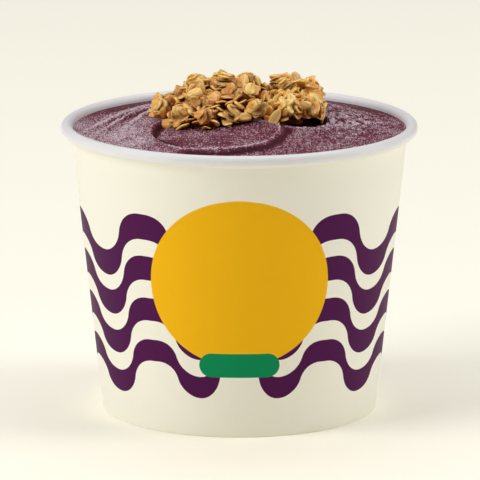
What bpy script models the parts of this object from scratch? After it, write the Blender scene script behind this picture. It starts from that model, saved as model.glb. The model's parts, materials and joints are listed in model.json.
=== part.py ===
"""A paper tub of frozen acai puree with a heap of granola clusters on top.

The tub is a tapered wall blank with a rolled rim, a lap seam at the back and a folded heel, and a
base disc whose flange sits in that heel. The puree fills it and domes above the rim, with the
marks of the spoon that spread it. Oat flakes, stuck together in clusters, are heaped in its middle.
Metres, +Z up, origin at the middle of the tub's foot, front towards -Y.
"""

import math
import random

import bmesh
import bpy
from mathutils import Matrix, Vector, noise
from mathutils.bvhtree import BVHTree

MM = 0.001
SMOOTH_ANGLE = math.radians(45)

# Tub: driving dimensions
RIM_RADIUS = 45.0 * MM
TUB_HEIGHT = 73.5 * MM
FOOT_RADIUS = 34.7 * MM
BOARD = 0.45 * MM
ROLL_RADIUS = 1.45 * MM
TUB_SEGMENTS = 72
ROLL_STEPS = 11

MERGE_DISTANCE = 0.01 * MM

# Tub: foot
CLEARANCE = 0.3 * MM
RECESS_DEPTH = 6.2 * MM
HEEL_HEIGHT = 5.0 * MM

# Tub: lap seam at the back
SEAM_COLUMN = TUB_SEGMENTS // 4
SEAM_EDGE_SHIFT = math.radians(4.2)
SEAM_RAMP_COLUMNS = 3
SEAM_TOP_GAP = 2.0 * MM
SEAM_TOLERANCE = 0.1 * MM

# Tub: worked out
ROLL_CENTRE_RADIUS = RIM_RADIUS - ROLL_RADIUS
ROLL_CENTRE_Z = TUB_HEIGHT - ROLL_RADIUS
WALL_TOP_RADIUS = ROLL_CENTRE_RADIUS - ROLL_RADIUS + BOARD
WALL_SLOPE = (WALL_TOP_RADIUS - FOOT_RADIUS) / ROLL_CENTRE_Z
SLOT_WIDTH = BOARD + 2 * CLEARANCE

# Puree: levels above the foot
EDGE_LEVEL = 71.7 * MM
DOME_LEVEL = 75.4 * MM
DOME_SHARES = (0.30, 1.05)
CALM_SHARES = (0.88, 1.0)
PUREE_RADIUS = WALL_TOP_RADIUS - BOARD
PUREE_SEGMENTS = 60
PUREE_RINGS = 17

# Granola: the heap's plan and mound
HEAP_CENTRE = Vector((0.0, 1.0 * MM))
HEAP_HALF_LENGTH = 22.3 * MM
HEAP_HALF_DEPTH = 14.6 * MM
HEAP_HEIGHT = 10.6 * MM
HEAP_SQUARENESS = 2.5
HEAP_STEEPNESS = 4
DIP_X = 7.0 * MM
DIP_WIDTH = 3.0 * MM
DIP_DEPTH = 1.6 * MM
OUTLINE_STEPS = 360

# Granola: clusters
CLUSTER_RADIUS = 3.5 * MM
CLUSTER_SPACING = 7.0 * MM
CLUSTER_RING_SHARES = (0.85, 0.50, 0.14)
CLUSTER_SHIFT = 0.8 * MM
CLUSTER_LIFT = 0.8 * MM
LOWEST_RISE = 2.9 * MM
STACK_SHARE = 0.45
AXIS_LIMITS = ((-1.0, 1.0), (-1.0, 0.2), (0.2, 1.0))
LUMP_SHARE = 0.82
LUMP_AXIS = (1.0, 0.6, 0.3)
SPINE_WIDTH = 2.6 * MM

# Granola: oat flakes
ROSETTE_FLAKES = 4
PAGES = 4
FLAKE_CORNERS = 6
FLAKE_LENGTH = 5.3 * MM
PAGE_LENGTH = 6.4 * MM
LENGTH_SPREAD = (0.85, 1.12)
FLAKE_ASPECT = 0.68
FLAKE_THICKNESS = 1.1 * MM
FLAKE_EDGE = 0.7 * MM
FLAKE_BOW = 0.16
FLAKE_TILT = 0.3
ROSETTE_REACH = (0.74, 0.88)
PAGE_TILT = 0.18
PAGE_REACH = 0.80
PAGE_SHIFT = 0.12
PAGE_TAPER = 0.25
HIGHEST_FLAKE = 0.95
LOWEST_FLAKE = -0.45
GOLDEN_ANGLE = math.pi * (3 - math.sqrt(5))
BURIED_SHARE = 0.95

# Granola: the core under the clusters
CORE_SEGMENTS = 20
CORE_RINGS = ((0.30, 0.55), (0.60, 0.48), (0.82, 0.22))
HEAP_SEED = 99
LIFT_STEP = 0.1 * MM

COLOURS = {
    "cup_wall": (0.90, 0.87, 0.75),
    "cup_base": (0.90, 0.88, 0.83),
    "acai": (0.16, 0.05, 0.09),
    "granola": (0.62, 0.38, 0.16),
}
ROUGHNESS = {"cup_wall": 0.5, "cup_base": 0.5, "acai": 0.45, "granola": 0.6}


def clear_scene():
    for obj in list(bpy.data.objects):
        bpy.data.objects.remove(obj, do_unlink=True)


def material(name):
    """One Principled material for each node."""
    made = bpy.data.materials.new(name)
    made.use_nodes = True
    shader = made.node_tree.nodes["Principled BSDF"]
    shader.inputs["Base Color"].default_value = (*COLOURS[name], 1.0)
    shader.inputs["Roughness"].default_value = ROUGHNESS[name]
    shader.inputs["Metallic"].default_value = 0.0
    return made


def object_from(name, bm, smooth_angle=None):
    """Turns a bmesh into a named object in the scene."""
    bmesh.ops.recalc_face_normals(bm, faces=bm.faces)
    mesh = bpy.data.meshes.new(name)
    bm.to_mesh(mesh)
    bm.free()
    obj = bpy.data.objects.new(name, mesh)
    bpy.context.scene.collection.objects.link(obj)
    if name in COLOURS:
        mesh.materials.append(material(name))
    if smooth_angle is not None:
        mesh.shade_smooth()
        mesh.set_sharp_from_angle(angle=smooth_angle)
    return obj


def smooth_step(low, high, value):
    share = min(1.0, max(0.0, (value - low) / (high - low)))
    return share * share * (3 - 2 * share)


def bump(distance, width):
    return math.exp(-((distance / width) ** 2))


# Tub


def wall_outside(z):
    return FOOT_RADIUS + WALL_SLOPE * z


def wall_inside(z):
    return wall_outside(z) - BOARD


def wall_profile():
    """(radius, z) round the wall blank: up its outside, over the rolled rim, down and into the heel."""
    start = math.acos((WALL_TOP_RADIUS - ROLL_CENTRE_RADIUS) / ROLL_RADIUS)
    first = 2 * math.pi - start
    last = 3 * math.pi
    points = [(FOOT_RADIUS, 0.0)]
    seam_top = ROLL_CENTRE_Z - SEAM_TOP_GAP
    points.append((wall_outside(seam_top), seam_top))
    for step in range(ROLL_STEPS + 1):
        angle = first + (last - first) * step / ROLL_STEPS
        radius = ROLL_CENTRE_RADIUS + ROLL_RADIUS * math.cos(angle)
        points.append((radius, ROLL_CENTRE_Z + ROLL_RADIUS * math.sin(angle)))
    points.append((wall_inside(BOARD), BOARD))
    points.append((wall_inside(BOARD) - SLOT_WIDTH, BOARD))
    points.append((wall_inside(HEEL_HEIGHT) - SLOT_WIDTH, HEEL_HEIGHT))
    points.append((wall_inside(HEEL_HEIGHT) - SLOT_WIDTH - BOARD, HEEL_HEIGHT))
    points.append((wall_inside(0.0) - SLOT_WIDTH - BOARD, 0.0))
    return points


def base_profile():
    """(radius, z) of the base disc and its flange, from the axis on top to the axis below."""
    top = RECESS_DEPTH + BOARD
    foot = BOARD + CLEARANCE
    return [
        (0.0, top),
        (wall_inside(top) - CLEARANCE, top),
        (wall_inside(foot) - CLEARANCE, foot),
        (wall_inside(foot) - CLEARANCE - BOARD, foot),
        (wall_inside(RECESS_DEPTH) - CLEARANCE - BOARD, RECESS_DEPTH),
        (0.0, RECESS_DEPTH),
    ]


def turned(profile, closed):
    """Spins a profile round the Z axis."""
    bm = bmesh.new()
    verts = [bm.verts.new((radius, 0.0, z)) for radius, z in profile]
    edges = [bm.edges.new(pair) for pair in zip(verts, verts[1:])]
    if closed:
        edges.append(bm.edges.new((verts[-1], verts[0])))
    bmesh.ops.spin(
        bm,
        geom=verts + edges,
        cent=(0, 0, 0),
        axis=(0, 0, 1),
        angle=2 * math.pi,
        steps=TUB_SEGMENTS,
        use_merge=True,
    )
    bmesh.ops.remove_doubles(bm, verts=bm.verts, dist=MERGE_DISTANCE)
    return bm


def add_lap_seam(bm):
    """Raises the outer ply towards its cut edge at the back, and ends it in a sharp step."""
    step_angle = 2 * math.pi / TUB_SEGMENTS
    seam_top = ROLL_CENTRE_Z - SEAM_TOP_GAP
    for vert in bm.verts:
        radius = math.hypot(vert.co.x, vert.co.y)
        angle = math.atan2(vert.co.y, vert.co.x)
        column = round(angle / step_angle)
        if column == SEAM_COLUMN + 1:
            vert.co = Matrix.Rotation(-SEAM_EDGE_SHIFT, 3, "Z") @ vert.co
        on_outside = abs(radius - wall_outside(vert.co.z)) < SEAM_TOLERANCE
        below_rim = vert.co.z < seam_top + SEAM_TOLERANCE
        behind = SEAM_COLUMN - column
        if on_outside and below_rim and 0 <= behind <= SEAM_RAMP_COLUMNS:
            lift = BOARD * (1 - behind / (SEAM_RAMP_COLUMNS + 1))
            vert.co.x *= 1 + lift / radius
            vert.co.y *= 1 + lift / radius


def make_cup_wall():
    bm = turned(wall_profile(), closed=True)
    add_lap_seam(bm)
    return object_from("cup_wall", bm, smooth_angle=SMOOTH_ANGLE)


def make_cup_base():
    bm = turned(base_profile(), closed=False)
    return object_from("cup_base", bm, smooth_angle=SMOOTH_ANGLE)


# Puree

# A hollow pressed by the spoon: centre, half sizes, depth, height of its lip
FRONT_SCOOP = ((-6.5 * MM, -13.5 * MM), (18.0 * MM, 19.0 * MM), 1.15 * MM, 0.75 * MM)
RIGHT_SCOOP = ((15.0 * MM, -5.0 * MM), (9.5 * MM, 10.5 * MM), 1.2 * MM, 0.35 * MM)
BACK_SCOOP = ((4.0 * MM, 17.0 * MM), (20.0 * MM, 14.0 * MM), 0.9 * MM, 0.6 * MM)
SCOOPS = (FRONT_SCOOP, RIGHT_SCOOP, BACK_SCOOP)
CLIFF_WIDTH = 2.2 * MM
LIP_SHIFT = 0.5 * MM
LIP_WIDTH = 1.5 * MM

# Strokes of the spoon's edge at the left
STROKE_DIRECTION = Vector((-0.5, -0.866))
STROKE_MIDDLE = Vector((-29.0 * MM, 3.5 * MM))
STROKE_PITCH = 3.9 * MM
STROKE_COUNT = 4
STROKE_HALF_LENGTH = 13.0 * MM
STROKE_HEIGHT = 0.5 * MM

# Lumps of frozen puree at the right, and slow waves everywhere
LUMP_MIDDLE = Vector((30.0 * MM, 0.0))
LUMP_REACH = 12.0 * MM
LUMP_HEIGHT = 0.6 * MM
LUMP_SIZE = 2.6 * MM
LUMP_SLICE = 0.3 * MM
WAVE_HEIGHT = 0.35 * MM
WAVE_SIZE = 13.0 * MM
WAVE_SLICE = 2.0 * MM


def scoop_relief(x, y, scoop):
    """A shallow hollow with a cliff inside its raised lip."""
    (centre_x, centre_y), (half_x, half_y), depth, lip = scoop
    share = math.hypot((x - centre_x) / half_x, (y - centre_y) / half_y)
    outwards = (share - 1) * (half_x + half_y) / 2
    hollow = -depth * (1 - smooth_step(-CLIFF_WIDTH, 0.0, outwards))
    return hollow + lip * bump(outwards - LIP_SHIFT, LIP_WIDTH)


def stroke_relief(x, y):
    """Parallel ridges that fade out at both ends and towards the middle."""
    offset = Vector((x, y)) - STROKE_MIDDLE
    along = offset.dot(STROKE_DIRECTION)
    across = offset.x * STROKE_DIRECTION.y - offset.y * STROKE_DIRECTION.x
    half_width = STROKE_PITCH * STROKE_COUNT / 2
    fade = bump(along, STROKE_HALF_LENGTH) * bump(across, half_width)
    return STROKE_HEIGHT * fade * math.cos(2 * math.pi * across / STROKE_PITCH)


def lump_relief(x, y):
    near = bump((Vector((x, y)) - LUMP_MIDDLE).length, LUMP_REACH)
    return LUMP_HEIGHT * near * noise.noise(Vector((x, y, LUMP_SLICE)) / LUMP_SIZE)


def puree_level(x, y):
    """Height of the puree's surface above the foot."""
    share = math.hypot(x, y) / PUREE_RADIUS
    level = EDGE_LEVEL + (DOME_LEVEL - EDGE_LEVEL) * (1 - smooth_step(*DOME_SHARES, share))
    relief = sum(scoop_relief(x, y, scoop) for scoop in SCOOPS)
    relief += stroke_relief(x, y) + lump_relief(x, y)
    relief += WAVE_HEIGHT * noise.noise(Vector((x, y, WAVE_SLICE)) / WAVE_SIZE)
    return level + relief * (1 - smooth_step(*CALM_SHARES, share))


def fan_solid(bm, columns, top, bottom):
    """Closes rings of points, listed from the middle of the top to the middle of the bottom."""
    first = bm.verts.new(top)
    last = bm.verts.new(bottom)
    rings = [[bm.verts.new(point) for point in ring] for ring in columns]
    count = len(rings[0])
    for index in range(count):
        after = (index + 1) % count
        bm.faces.new((first, rings[0][index], rings[0][after]))
        bm.faces.new((last, rings[-1][after], rings[-1][index]))
        for upper, lower in zip(rings, rings[1:]):
            bm.faces.new((upper[index], lower[index], lower[after], upper[after]))


def circle_angles(count):
    return [2 * math.pi * index / count for index in range(count)]


def make_acai():
    bm = bmesh.new()
    angles = circle_angles(PUREE_SEGMENTS)
    rings = []
    for number in range(1, PUREE_RINGS + 1):
        radius = (PUREE_RADIUS - CLEARANCE) * number / PUREE_RINGS
        ring = []
        for angle in angles:
            x = radius * math.cos(angle)
            y = radius * math.sin(angle)
            level = puree_level(x, y)
            room = wall_inside(min(level, ROLL_CENTRE_Z)) - CLEARANCE
            keep = min(1.0, room / radius)
            ring.append((x * keep, y * keep, level))
        rings.append(ring)
    foot = RECESS_DEPTH + BOARD + CLEARANCE
    foot_radius = wall_inside(foot) - CLEARANCE
    rings.append([(foot_radius * math.cos(a), foot_radius * math.sin(a), foot) for a in angles])
    fan_solid(bm, rings, (0, 0, puree_level(0, 0)), (0, 0, foot))
    return object_from("acai", bm, smooth_angle=SMOOTH_ANGLE)


# Granola


def heap_share(x, y):
    """0 in the middle of the heap's plan, 1 at its edge."""
    along = abs(x - HEAP_CENTRE.x) / HEAP_HALF_LENGTH
    across = abs(y - HEAP_CENTRE.y) / HEAP_HALF_DEPTH
    return (along**HEAP_SQUARENESS + across**HEAP_SQUARENESS) ** (1 / HEAP_SQUARENESS)


def heap_height(x, y):
    """Height of the heap over the puree: a steep-sided mound with a dip right of its middle."""
    dip = DIP_DEPTH * bump(x - DIP_X, DIP_WIDTH)
    return max(0.0, (HEAP_HEIGHT - dip) * (1 - heap_share(x, y) ** HEAP_STEEPNESS))


def plan_point(share, angle):
    """Point of the heap's plan at a share of the way to its edge."""
    power = 2 / HEAP_SQUARENESS
    along = math.copysign(abs(math.cos(angle)) ** power, math.cos(angle))
    across = math.copysign(abs(math.sin(angle)) ** power, math.sin(angle))
    return HEAP_CENTRE + share * Vector((along * HEAP_HALF_LENGTH, across * HEAP_HALF_DEPTH))


def even_points(share, spacing):
    """Points spread evenly round the heap's plan."""
    outline = [plan_point(share, angle) for angle in circle_angles(OUTLINE_STEPS)]
    steps = [(b - a).length for a, b in zip(outline, outline[1:] + outline[:1])]
    count = max(1, round(sum(steps) / spacing))
    gap = sum(steps) / count
    points = []
    travelled = 0.0
    for point, step in zip(outline, steps):
        if travelled >= gap * len(points):
            points.append(point)
        travelled += step
    return points


def cluster_sites():
    """(centre, axis, is a stack) for each cluster, in rings from the heap's edge to its middle."""
    draw = random.Random(HEAP_SEED)
    sites = []
    for share in CLUSTER_RING_SHARES:
        for point in even_points(share, CLUSTER_SPACING):
            x = point.x + draw.uniform(-CLUSTER_SHIFT, CLUSTER_SHIFT)
            y = point.y + draw.uniform(-CLUSTER_SHIFT, CLUSTER_SHIFT)
            axis = Vector([draw.uniform(*limits) for limits in AXIS_LIMITS]).normalized()
            stack = draw.random() < STACK_SHARE
            lift = draw.uniform(-CLUSTER_LIFT, CLUSTER_LIFT)
            rise = max(LOWEST_RISE, heap_height(x, y) - CLUSTER_RADIUS + lift)
            sites.append((Vector((x, y, puree_level(x, y) + rise)), axis, stack))
    return sites


def random_offset(draw):
    return Vector((draw.uniform(-1, 1), draw.uniform(-1, 1), draw.uniform(-1, 1)))


def rosette_place(centre, outwards, draw):
    """Middle, facing and length of a flake that lies flat on its cluster's round outside."""
    facing = (outwards + FLAKE_TILT * random_offset(draw)).normalized()
    middle = centre + outwards * CLUSTER_RADIUS * draw.uniform(*ROSETTE_REACH)
    return middle, facing, FLAKE_LENGTH * draw.uniform(*LENGTH_SPREAD)


def page_place(centre, axis, share, draw):
    """The same for a flake that lies on the next like a page; share runs from -1 to 1 up the stack."""
    offset = random_offset(draw)
    facing = (axis + PAGE_TILT * offset).normalized()
    middle = centre + (PAGE_REACH * share * axis + PAGE_SHIFT * offset) * CLUSTER_RADIUS
    return middle, facing, PAGE_LENGTH * draw.uniform(*LENGTH_SPREAD) * (1 - PAGE_TAPER * share * share)


def flake_places(centre, axis, stack, draw):
    """Placing matrix and length of each flake of a cluster."""
    start = draw.uniform(0, 2 * math.pi)
    count = PAGES if stack else ROSETTE_FLAKES
    places = []
    for index in range(count):
        share = (index + 0.5) / count
        height = HIGHEST_FLAKE + (LOWEST_FLAKE - HIGHEST_FLAKE) * share
        level = math.sqrt(1 - height * height)
        angle = start + GOLDEN_ANGLE * index
        outwards = Vector((level * math.cos(angle), level * math.sin(angle), height))
        if stack:
            middle, facing, length = page_place(centre, axis, 1 - 2 * share, draw)
        else:
            middle, facing, length = rosette_place(centre, outwards, draw)
        spin = Matrix.Rotation(draw.uniform(0, 2 * math.pi), 4, "Z")
        tilt = facing.to_track_quat("Z", "Y").to_matrix().to_4x4()
        places.append((Matrix.Translation(middle) @ tilt @ spin, length))
    return places


def buried(place, own_centre, sites):
    """Whether a flake's middle lies inside another cluster or the core, where nothing shows it."""
    middle = place.to_translation()
    inner_share, inner_fill = CORE_RINGS[1]
    core_top = puree_level(middle.x, middle.y) + inner_fill * heap_height(middle.x, middle.y)
    if heap_share(middle.x, middle.y) < inner_share and middle.z < core_top:
        return True
    others = (centre for centre, _axis, _stack in sites if centre is not own_centre)
    return any((middle - centre).length < BURIED_SHARE * CLUSTER_RADIUS for centre in others)


def flake_rings(length):
    """Upper and lower ring of a bowed oval flake, and its two middles."""
    width = FLAKE_ASPECT * length
    upper = []
    lower = []
    half_step = math.pi / FLAKE_CORNERS
    for angle in circle_angles(FLAKE_CORNERS):
        angle += half_step
        x = 0.5 * length * math.cos(angle)
        y = 0.5 * width * math.sin(angle)
        droop = -FLAKE_BOW * width * math.sin(angle) ** 2
        upper.append(Vector((x, y, droop + FLAKE_EDGE / 2)))
        lower.append(Vector((x, y, droop - FLAKE_EDGE / 2)))
    return upper, lower, Vector((0, 0, FLAKE_THICKNESS / 2)), Vector((0, 0, -FLAKE_THICKNESS / 2))


def level_under(point, puree):
    """Height of the faceted puree straight below a point."""
    above = Vector((point.x, point.y, 2 * TUB_HEIGHT))
    return puree.ray_cast(above, Vector((0, 0, -1)))[0].z


def lift_clear(bm, puree):
    """Raises a piece until it clears the puree."""
    rise = max(0.0, max(level_under(v.co, puree) - v.co.z for v in bm.verts))
    bmesh.ops.translate(bm, verts=bm.verts, vec=(0, 0, rise))
    while BVHTree.FromBMesh(bm).overlap(puree):
        bmesh.ops.translate(bm, verts=bm.verts, vec=(0, 0, LIFT_STEP))
    bmesh.ops.translate(bm, verts=bm.verts, vec=(0, 0, CLEARANCE))


def add_helper(name, bm, collection):
    """Puts a piece that the union will join into its collection."""
    obj = object_from(name, bm)
    bpy.context.scene.collection.objects.unlink(obj)
    collection.objects.link(obj)
    obj.hide_render = True
    obj.display_type = "WIRE"


def make_flake(name, place, length, collection, puree):
    upper, lower, top, bottom = flake_rings(length)
    bm = bmesh.new()
    fan_solid(bm, [upper, lower], top, bottom)
    bmesh.ops.transform(bm, matrix=place, verts=bm.verts)
    lift_clear(bm, puree)
    add_helper(name, bm, collection)


def make_lump(name, centre, turn, collection, puree):
    """The solid middle of a round cluster."""
    bm = bmesh.new()
    bmesh.ops.create_icosphere(bm, subdivisions=1, radius=LUMP_SHARE * CLUSTER_RADIUS)
    bmesh.ops.rotate(bm, verts=bm.verts, matrix=Matrix.Rotation(turn, 3, LUMP_AXIS))
    bmesh.ops.translate(bm, verts=bm.verts, vec=centre)
    lift_clear(bm, puree)
    add_helper(name, bm, collection)


def make_spine(name, centre, axis, collection, puree):
    """The square bar through a stack of flakes that holds it together."""
    bm = bmesh.new()
    bmesh.ops.create_cube(bm, size=SPINE_WIDTH)
    stretch = 2 * PAGE_REACH * CLUSTER_RADIUS / SPINE_WIDTH
    tilt = axis.to_track_quat("Z", "Y").to_matrix().to_4x4()
    place = Matrix.Translation(centre) @ tilt @ Matrix.Scale(stretch, 4, (0, 0, 1))
    bmesh.ops.transform(bm, matrix=place, verts=bm.verts)
    lift_clear(bm, puree)
    add_helper(name, bm, collection)


def make_core(puree):
    """The heap's smaller core, resting just clear of the puree."""
    bm = bmesh.new()
    rings = []
    for share, fill in CORE_RINGS:
        ring = []
        for angle in circle_angles(CORE_SEGMENTS):
            point = plan_point(share, angle)
            level = puree_level(*point) + fill * heap_height(*point)
            ring.append(Vector((*point, level)))
        rings.append(ring)
    floor = [[Vector((p.x, p.y, puree_level(p.x, p.y))) for p in ring] for ring in reversed(rings)]
    middle = Vector((*HEAP_CENTRE, puree_level(*HEAP_CENTRE)))
    peak = middle + Vector((0, 0, CORE_RINGS[0][1] * HEAP_HEIGHT))
    fan_solid(bm, rings + floor, peak, middle)
    lift_clear(bm, puree)
    return object_from("granola", bm)


def make_pieces(collection, puree):
    """Every lump and flake that shows, as loose solids in a collection."""
    draw = random.Random(HEAP_SEED + 1)
    sites = cluster_sites()
    for number, (centre, axis, stack) in enumerate(sites):
        if stack:
            make_spine(f"spine_{number:02d}", centre, axis, collection, puree)
        else:
            make_lump(f"lump_{number:02d}", centre, number, collection, puree)
        for flake, (place, length) in enumerate(flake_places(centre, axis, stack, draw)):
            if not buried(place, centre, sites):
                make_flake(f"flake_{number:02d}_{flake}", place, length, collection, puree)


def union_with(obj, collection):
    """Joins a collection's solids to an object and keeps only the object."""
    union = obj.modifiers.new("join_pieces", "BOOLEAN")
    union.operation = "UNION"
    union.operand_type = "COLLECTION"
    union.collection = collection
    union.solver = "MANIFOLD"
    graph = bpy.context.evaluated_depsgraph_get()
    joined = bpy.data.meshes.new_from_object(obj.evaluated_get(graph))
    obj.modifiers.clear()
    obj.data = joined
    for helper in list(collection.objects):
        bpy.data.objects.remove(helper, do_unlink=True)
    bpy.data.collections.remove(collection)


def keep_largest_piece(obj):
    """Drops any scrap that the union left loose."""
    bm = bmesh.new()
    bm.from_mesh(obj.data)
    unseen = set(bm.verts)
    pieces = []
    while unseen:
        piece = set()
        front = [unseen.pop()]
        while front:
            vert = front.pop()
            piece.add(vert)
            for link in vert.link_edges:
                other = link.other_vert(vert)
                if other in unseen:
                    unseen.remove(other)
                    front.append(other)
        pieces.append(piece)
    pieces.sort(key=len)
    for piece in pieces[:-1]:
        bmesh.ops.delete(bm, geom=list(piece), context="VERTS")
    bm.to_mesh(obj.data)
    bm.free()


def make_granola(acai):
    """Oat flakes in clusters, heaped on the puree and fused over a smaller core."""
    acai_mesh = bmesh.new()
    acai_mesh.from_mesh(acai.data)
    puree = BVHTree.FromBMesh(acai_mesh)
    acai_mesh.free()
    core = make_core(puree)
    pieces = bpy.data.collections.new("granola_pieces")
    bpy.context.scene.collection.children.link(pieces)
    make_pieces(pieces, puree)
    union_with(core, pieces)
    keep_largest_piece(core)
    core.data.materials.clear()
    core.data.materials.append(material("granola"))


def main():
    clear_scene()
    make_cup_wall()
    make_cup_base()
    acai = make_acai()
    make_granola(acai)


main()
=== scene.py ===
"""Looks of a paper tub of frozen acai puree with a heap of oat granola on top.

The file is laid out as an add-on and is run as a script. Each operator makes one piece, or a group
of like pieces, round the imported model, and the panel lists them in the order in which they run.
Metres, +Z up, origin at the middle of the tub's foot, front towards -Y.
"""

import json
import math
import random
from functools import partialmethod

import bmesh
import bpy
import numpy as np
from bpy.props import FloatProperty, FloatVectorProperty, IntProperty, PointerProperty
from mathutils import Matrix, Vector, noise

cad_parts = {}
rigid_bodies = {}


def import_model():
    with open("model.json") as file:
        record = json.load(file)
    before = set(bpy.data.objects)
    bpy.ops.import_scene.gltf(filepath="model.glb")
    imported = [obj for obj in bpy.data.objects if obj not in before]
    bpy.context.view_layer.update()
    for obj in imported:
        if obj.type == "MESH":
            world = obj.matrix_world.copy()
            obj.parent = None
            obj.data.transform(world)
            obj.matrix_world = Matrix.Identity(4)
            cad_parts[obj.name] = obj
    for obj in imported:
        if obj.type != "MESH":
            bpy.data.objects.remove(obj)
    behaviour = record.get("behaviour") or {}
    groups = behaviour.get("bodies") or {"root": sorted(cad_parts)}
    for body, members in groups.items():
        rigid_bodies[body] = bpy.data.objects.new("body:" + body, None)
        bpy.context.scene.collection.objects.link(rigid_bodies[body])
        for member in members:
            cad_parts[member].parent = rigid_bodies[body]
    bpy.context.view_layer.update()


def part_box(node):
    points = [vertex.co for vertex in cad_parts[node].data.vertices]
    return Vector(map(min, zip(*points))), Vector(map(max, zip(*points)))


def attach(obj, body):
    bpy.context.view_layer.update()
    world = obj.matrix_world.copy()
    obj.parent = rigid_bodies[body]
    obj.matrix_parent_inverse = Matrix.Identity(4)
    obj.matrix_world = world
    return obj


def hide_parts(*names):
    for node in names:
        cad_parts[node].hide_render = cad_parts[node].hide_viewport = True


bl_info = {
    "name": "Acai Tub",
    "version": (1, 0, 0),
    "blender": (4, 5, 0),
    "location": "View3D > Sidebar > Acai Tub",
    "description": "Makes the printed tub, the frosted puree and the granola round the packed model",
    "category": "Object",
}

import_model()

MM = 0.001
BODY = "root"

# Tub, as the solids have it
RIM_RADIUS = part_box("cup_wall")[1].x
TUB_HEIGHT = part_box("cup_wall")[1].z
FOOT_RADIUS = 34.7 * MM
BOARD = 0.45 * MM
ROLL_RADIUS = 1.45 * MM
CLEARANCE = 0.3 * MM
RECESS_DEPTH = 6.2 * MM
HEEL_HEIGHT = 5.0 * MM
ROLL_CENTRE_RADIUS = RIM_RADIUS - ROLL_RADIUS
ROLL_CENTRE_Z = TUB_HEIGHT - ROLL_RADIUS
WALL_TOP_RADIUS = ROLL_CENTRE_RADIUS - ROLL_RADIUS + BOARD
WALL_SLOPE = (WALL_TOP_RADIUS - FOOT_RADIUS) / ROLL_CENTRE_Z
SLOT_WIDTH = BOARD + 2 * CLEARANCE

# Tub, finer than the solids
POLE_RADIUS = 0.001 * MM
BASE_BEND = 0.6 * MM
BEND_CUT = 0.2
SHARP_FOLD = math.radians(40)
RIB_HEIGHT = 3.4 * MM
RIB_WIDTH = 0.9 * MM
RIB_DEPTH = 0.4 * MM
TUB_STEPS = 240
WALL_STEPS = 24
ROLL_STEPS = 36
FOLD_STEPS = 5
SEAM_ANGLE = math.radians(90)
SEAM_RAMP = math.radians(20)
SEAM_STEP = math.radians(0.25)
SEAM_TOP_GAP = 2.0 * MM
SEAM_FADE = 1.5 * MM

# Puree, as the solid has it. A scoop is its middle, its half sizes, its depth and its lip's height
EDGE_LEVEL = 71.7 * MM
DOME_LEVEL = 75.4 * MM
DOME_SHARES = (0.30, 1.05)
CALM_SHARES = (0.88, 1.0)
PUREE_RADIUS = WALL_TOP_RADIUS - BOARD
FRONT_SCOOP = ((-6.0 * MM, -16.0 * MM), (16.2 * MM, 17.6 * MM), 1.7 * MM, 0.75 * MM)
RIGHT_SCOOP = ((13.2 * MM, -4.6 * MM), (9.6 * MM, 10.6 * MM), 2.3 * MM, 0.2 * MM)
BACK_SCOOP = ((4.0 * MM, 17.0 * MM), (20.0 * MM, 14.0 * MM), 0.9 * MM, 0.6 * MM)
CLIFF_WIDTH = 2.2 * MM
LIP_SHIFT = 0.5 * MM
LIP_WIDTH = 1.5 * MM
WAVE_HEIGHT = 0.35 * MM
WAVE_NOISE = (13.0 * MM, 2.0 * MM)

# The front scoop is a dish, cut off behind by a lobe of puree
LOBE_TIP = (3.7 * MM, -11.4 * MM)
LOBE_CURVE = 120.0
LOBE_LEAN = 1.2
LOBE_SLOPE = 0.8
LOBE_SIDES = (-9.0 * MM, 3.0 * MM)
LOBE_CLIMB = (-27.0 * MM, -13.0 * MM)
DISH_FRONT = (-14.0 * MM, -24.0 * MM)
DISH_CLIFF = 1.3 * MM
DISH_FILLING = 0.9
DISH_LIP_INSIDE = 2.6 * MM
DISH_LIP_OUTSIDE = 0.55 * MM
LOWEST_LIP = 0.45
BLUNTEST_LIP = 0.4
SHARP_FRONT = ((-3.5 * MM, -31.0 * MM), 11.0 * MM)
SHARP_FRONT_DEPTH = 1.3
SHARP_BEHIND = ((5.0 * MM, -11.5 * MM), 5.0 * MM)
LEAST_SHARP = 0.16
BLUNT_LEFT = ((-13.0 * MM, -18.0 * MM), (-28.0 * MM, -24.0 * MM))
BLUNT_LEFT_LOSS = 0.7

# Strokes at the left: each ridge is its place across and its width
STROKE_DIRECTION = (-0.44, -0.898)
STROKE_MIDDLE = (-27.5 * MM, 7.5 * MM)
STROKE_RIDGES = ((3.8 * MM, 1.3 * MM), (0.0 * MM, 1.0 * MM), (-4.7 * MM, 1.7 * MM))
STROKE_SPREAD = 8.0 * MM
STROKE_SPLAY = 12.0
STROKE_HALF_LENGTH = 13.0 * MM
STROKE_HEIGHT = 0.42 * MM

# Broken lumps at the right
LUMP_MIDDLE = (25.8 * MM, -1.5 * MM)
LUMP_REACH = 10.5 * MM
LUMP_NARROWING = 0.7
LUMP_HEIGHT = 0.6 * MM
LUMP_NOISE = (2.6 * MM, 0.3 * MM)

# Puree, finer than the solid. A noise is its size and the level at which it is read, and the frost's
# crumbs are their height and their noise
PUREE_SIDE = 270
PUREE_FOLD = math.radians(70)
WALL_OVERLAP = 0.1 * MM
CHUNK_NOISE = (1.9 * MM, 0.4 * MM)
CRACK_WIDTH = 0.35
CREST_NOISE = (0.8 * MM, 3.0 * MM)
FROST_CRUMBS = ((0.32 * MM, (0.6 * MM, 0.2 * MM)), (0.22 * MM, (1.3 * MM, 0.9 * MM)))
CHUNK_HEIGHT = 0.9 * MM
CREST_HEIGHT = 0.30 * MM
CREST_ROUGHNESS = 0.6 * MM
LIP_ROUGHNESS = 0.3 * MM
LIP_ROUGH_WIDTH = 0.5 * MM
LIP_NOISE = (1.2 * MM, 8.0 * MM)

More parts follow.
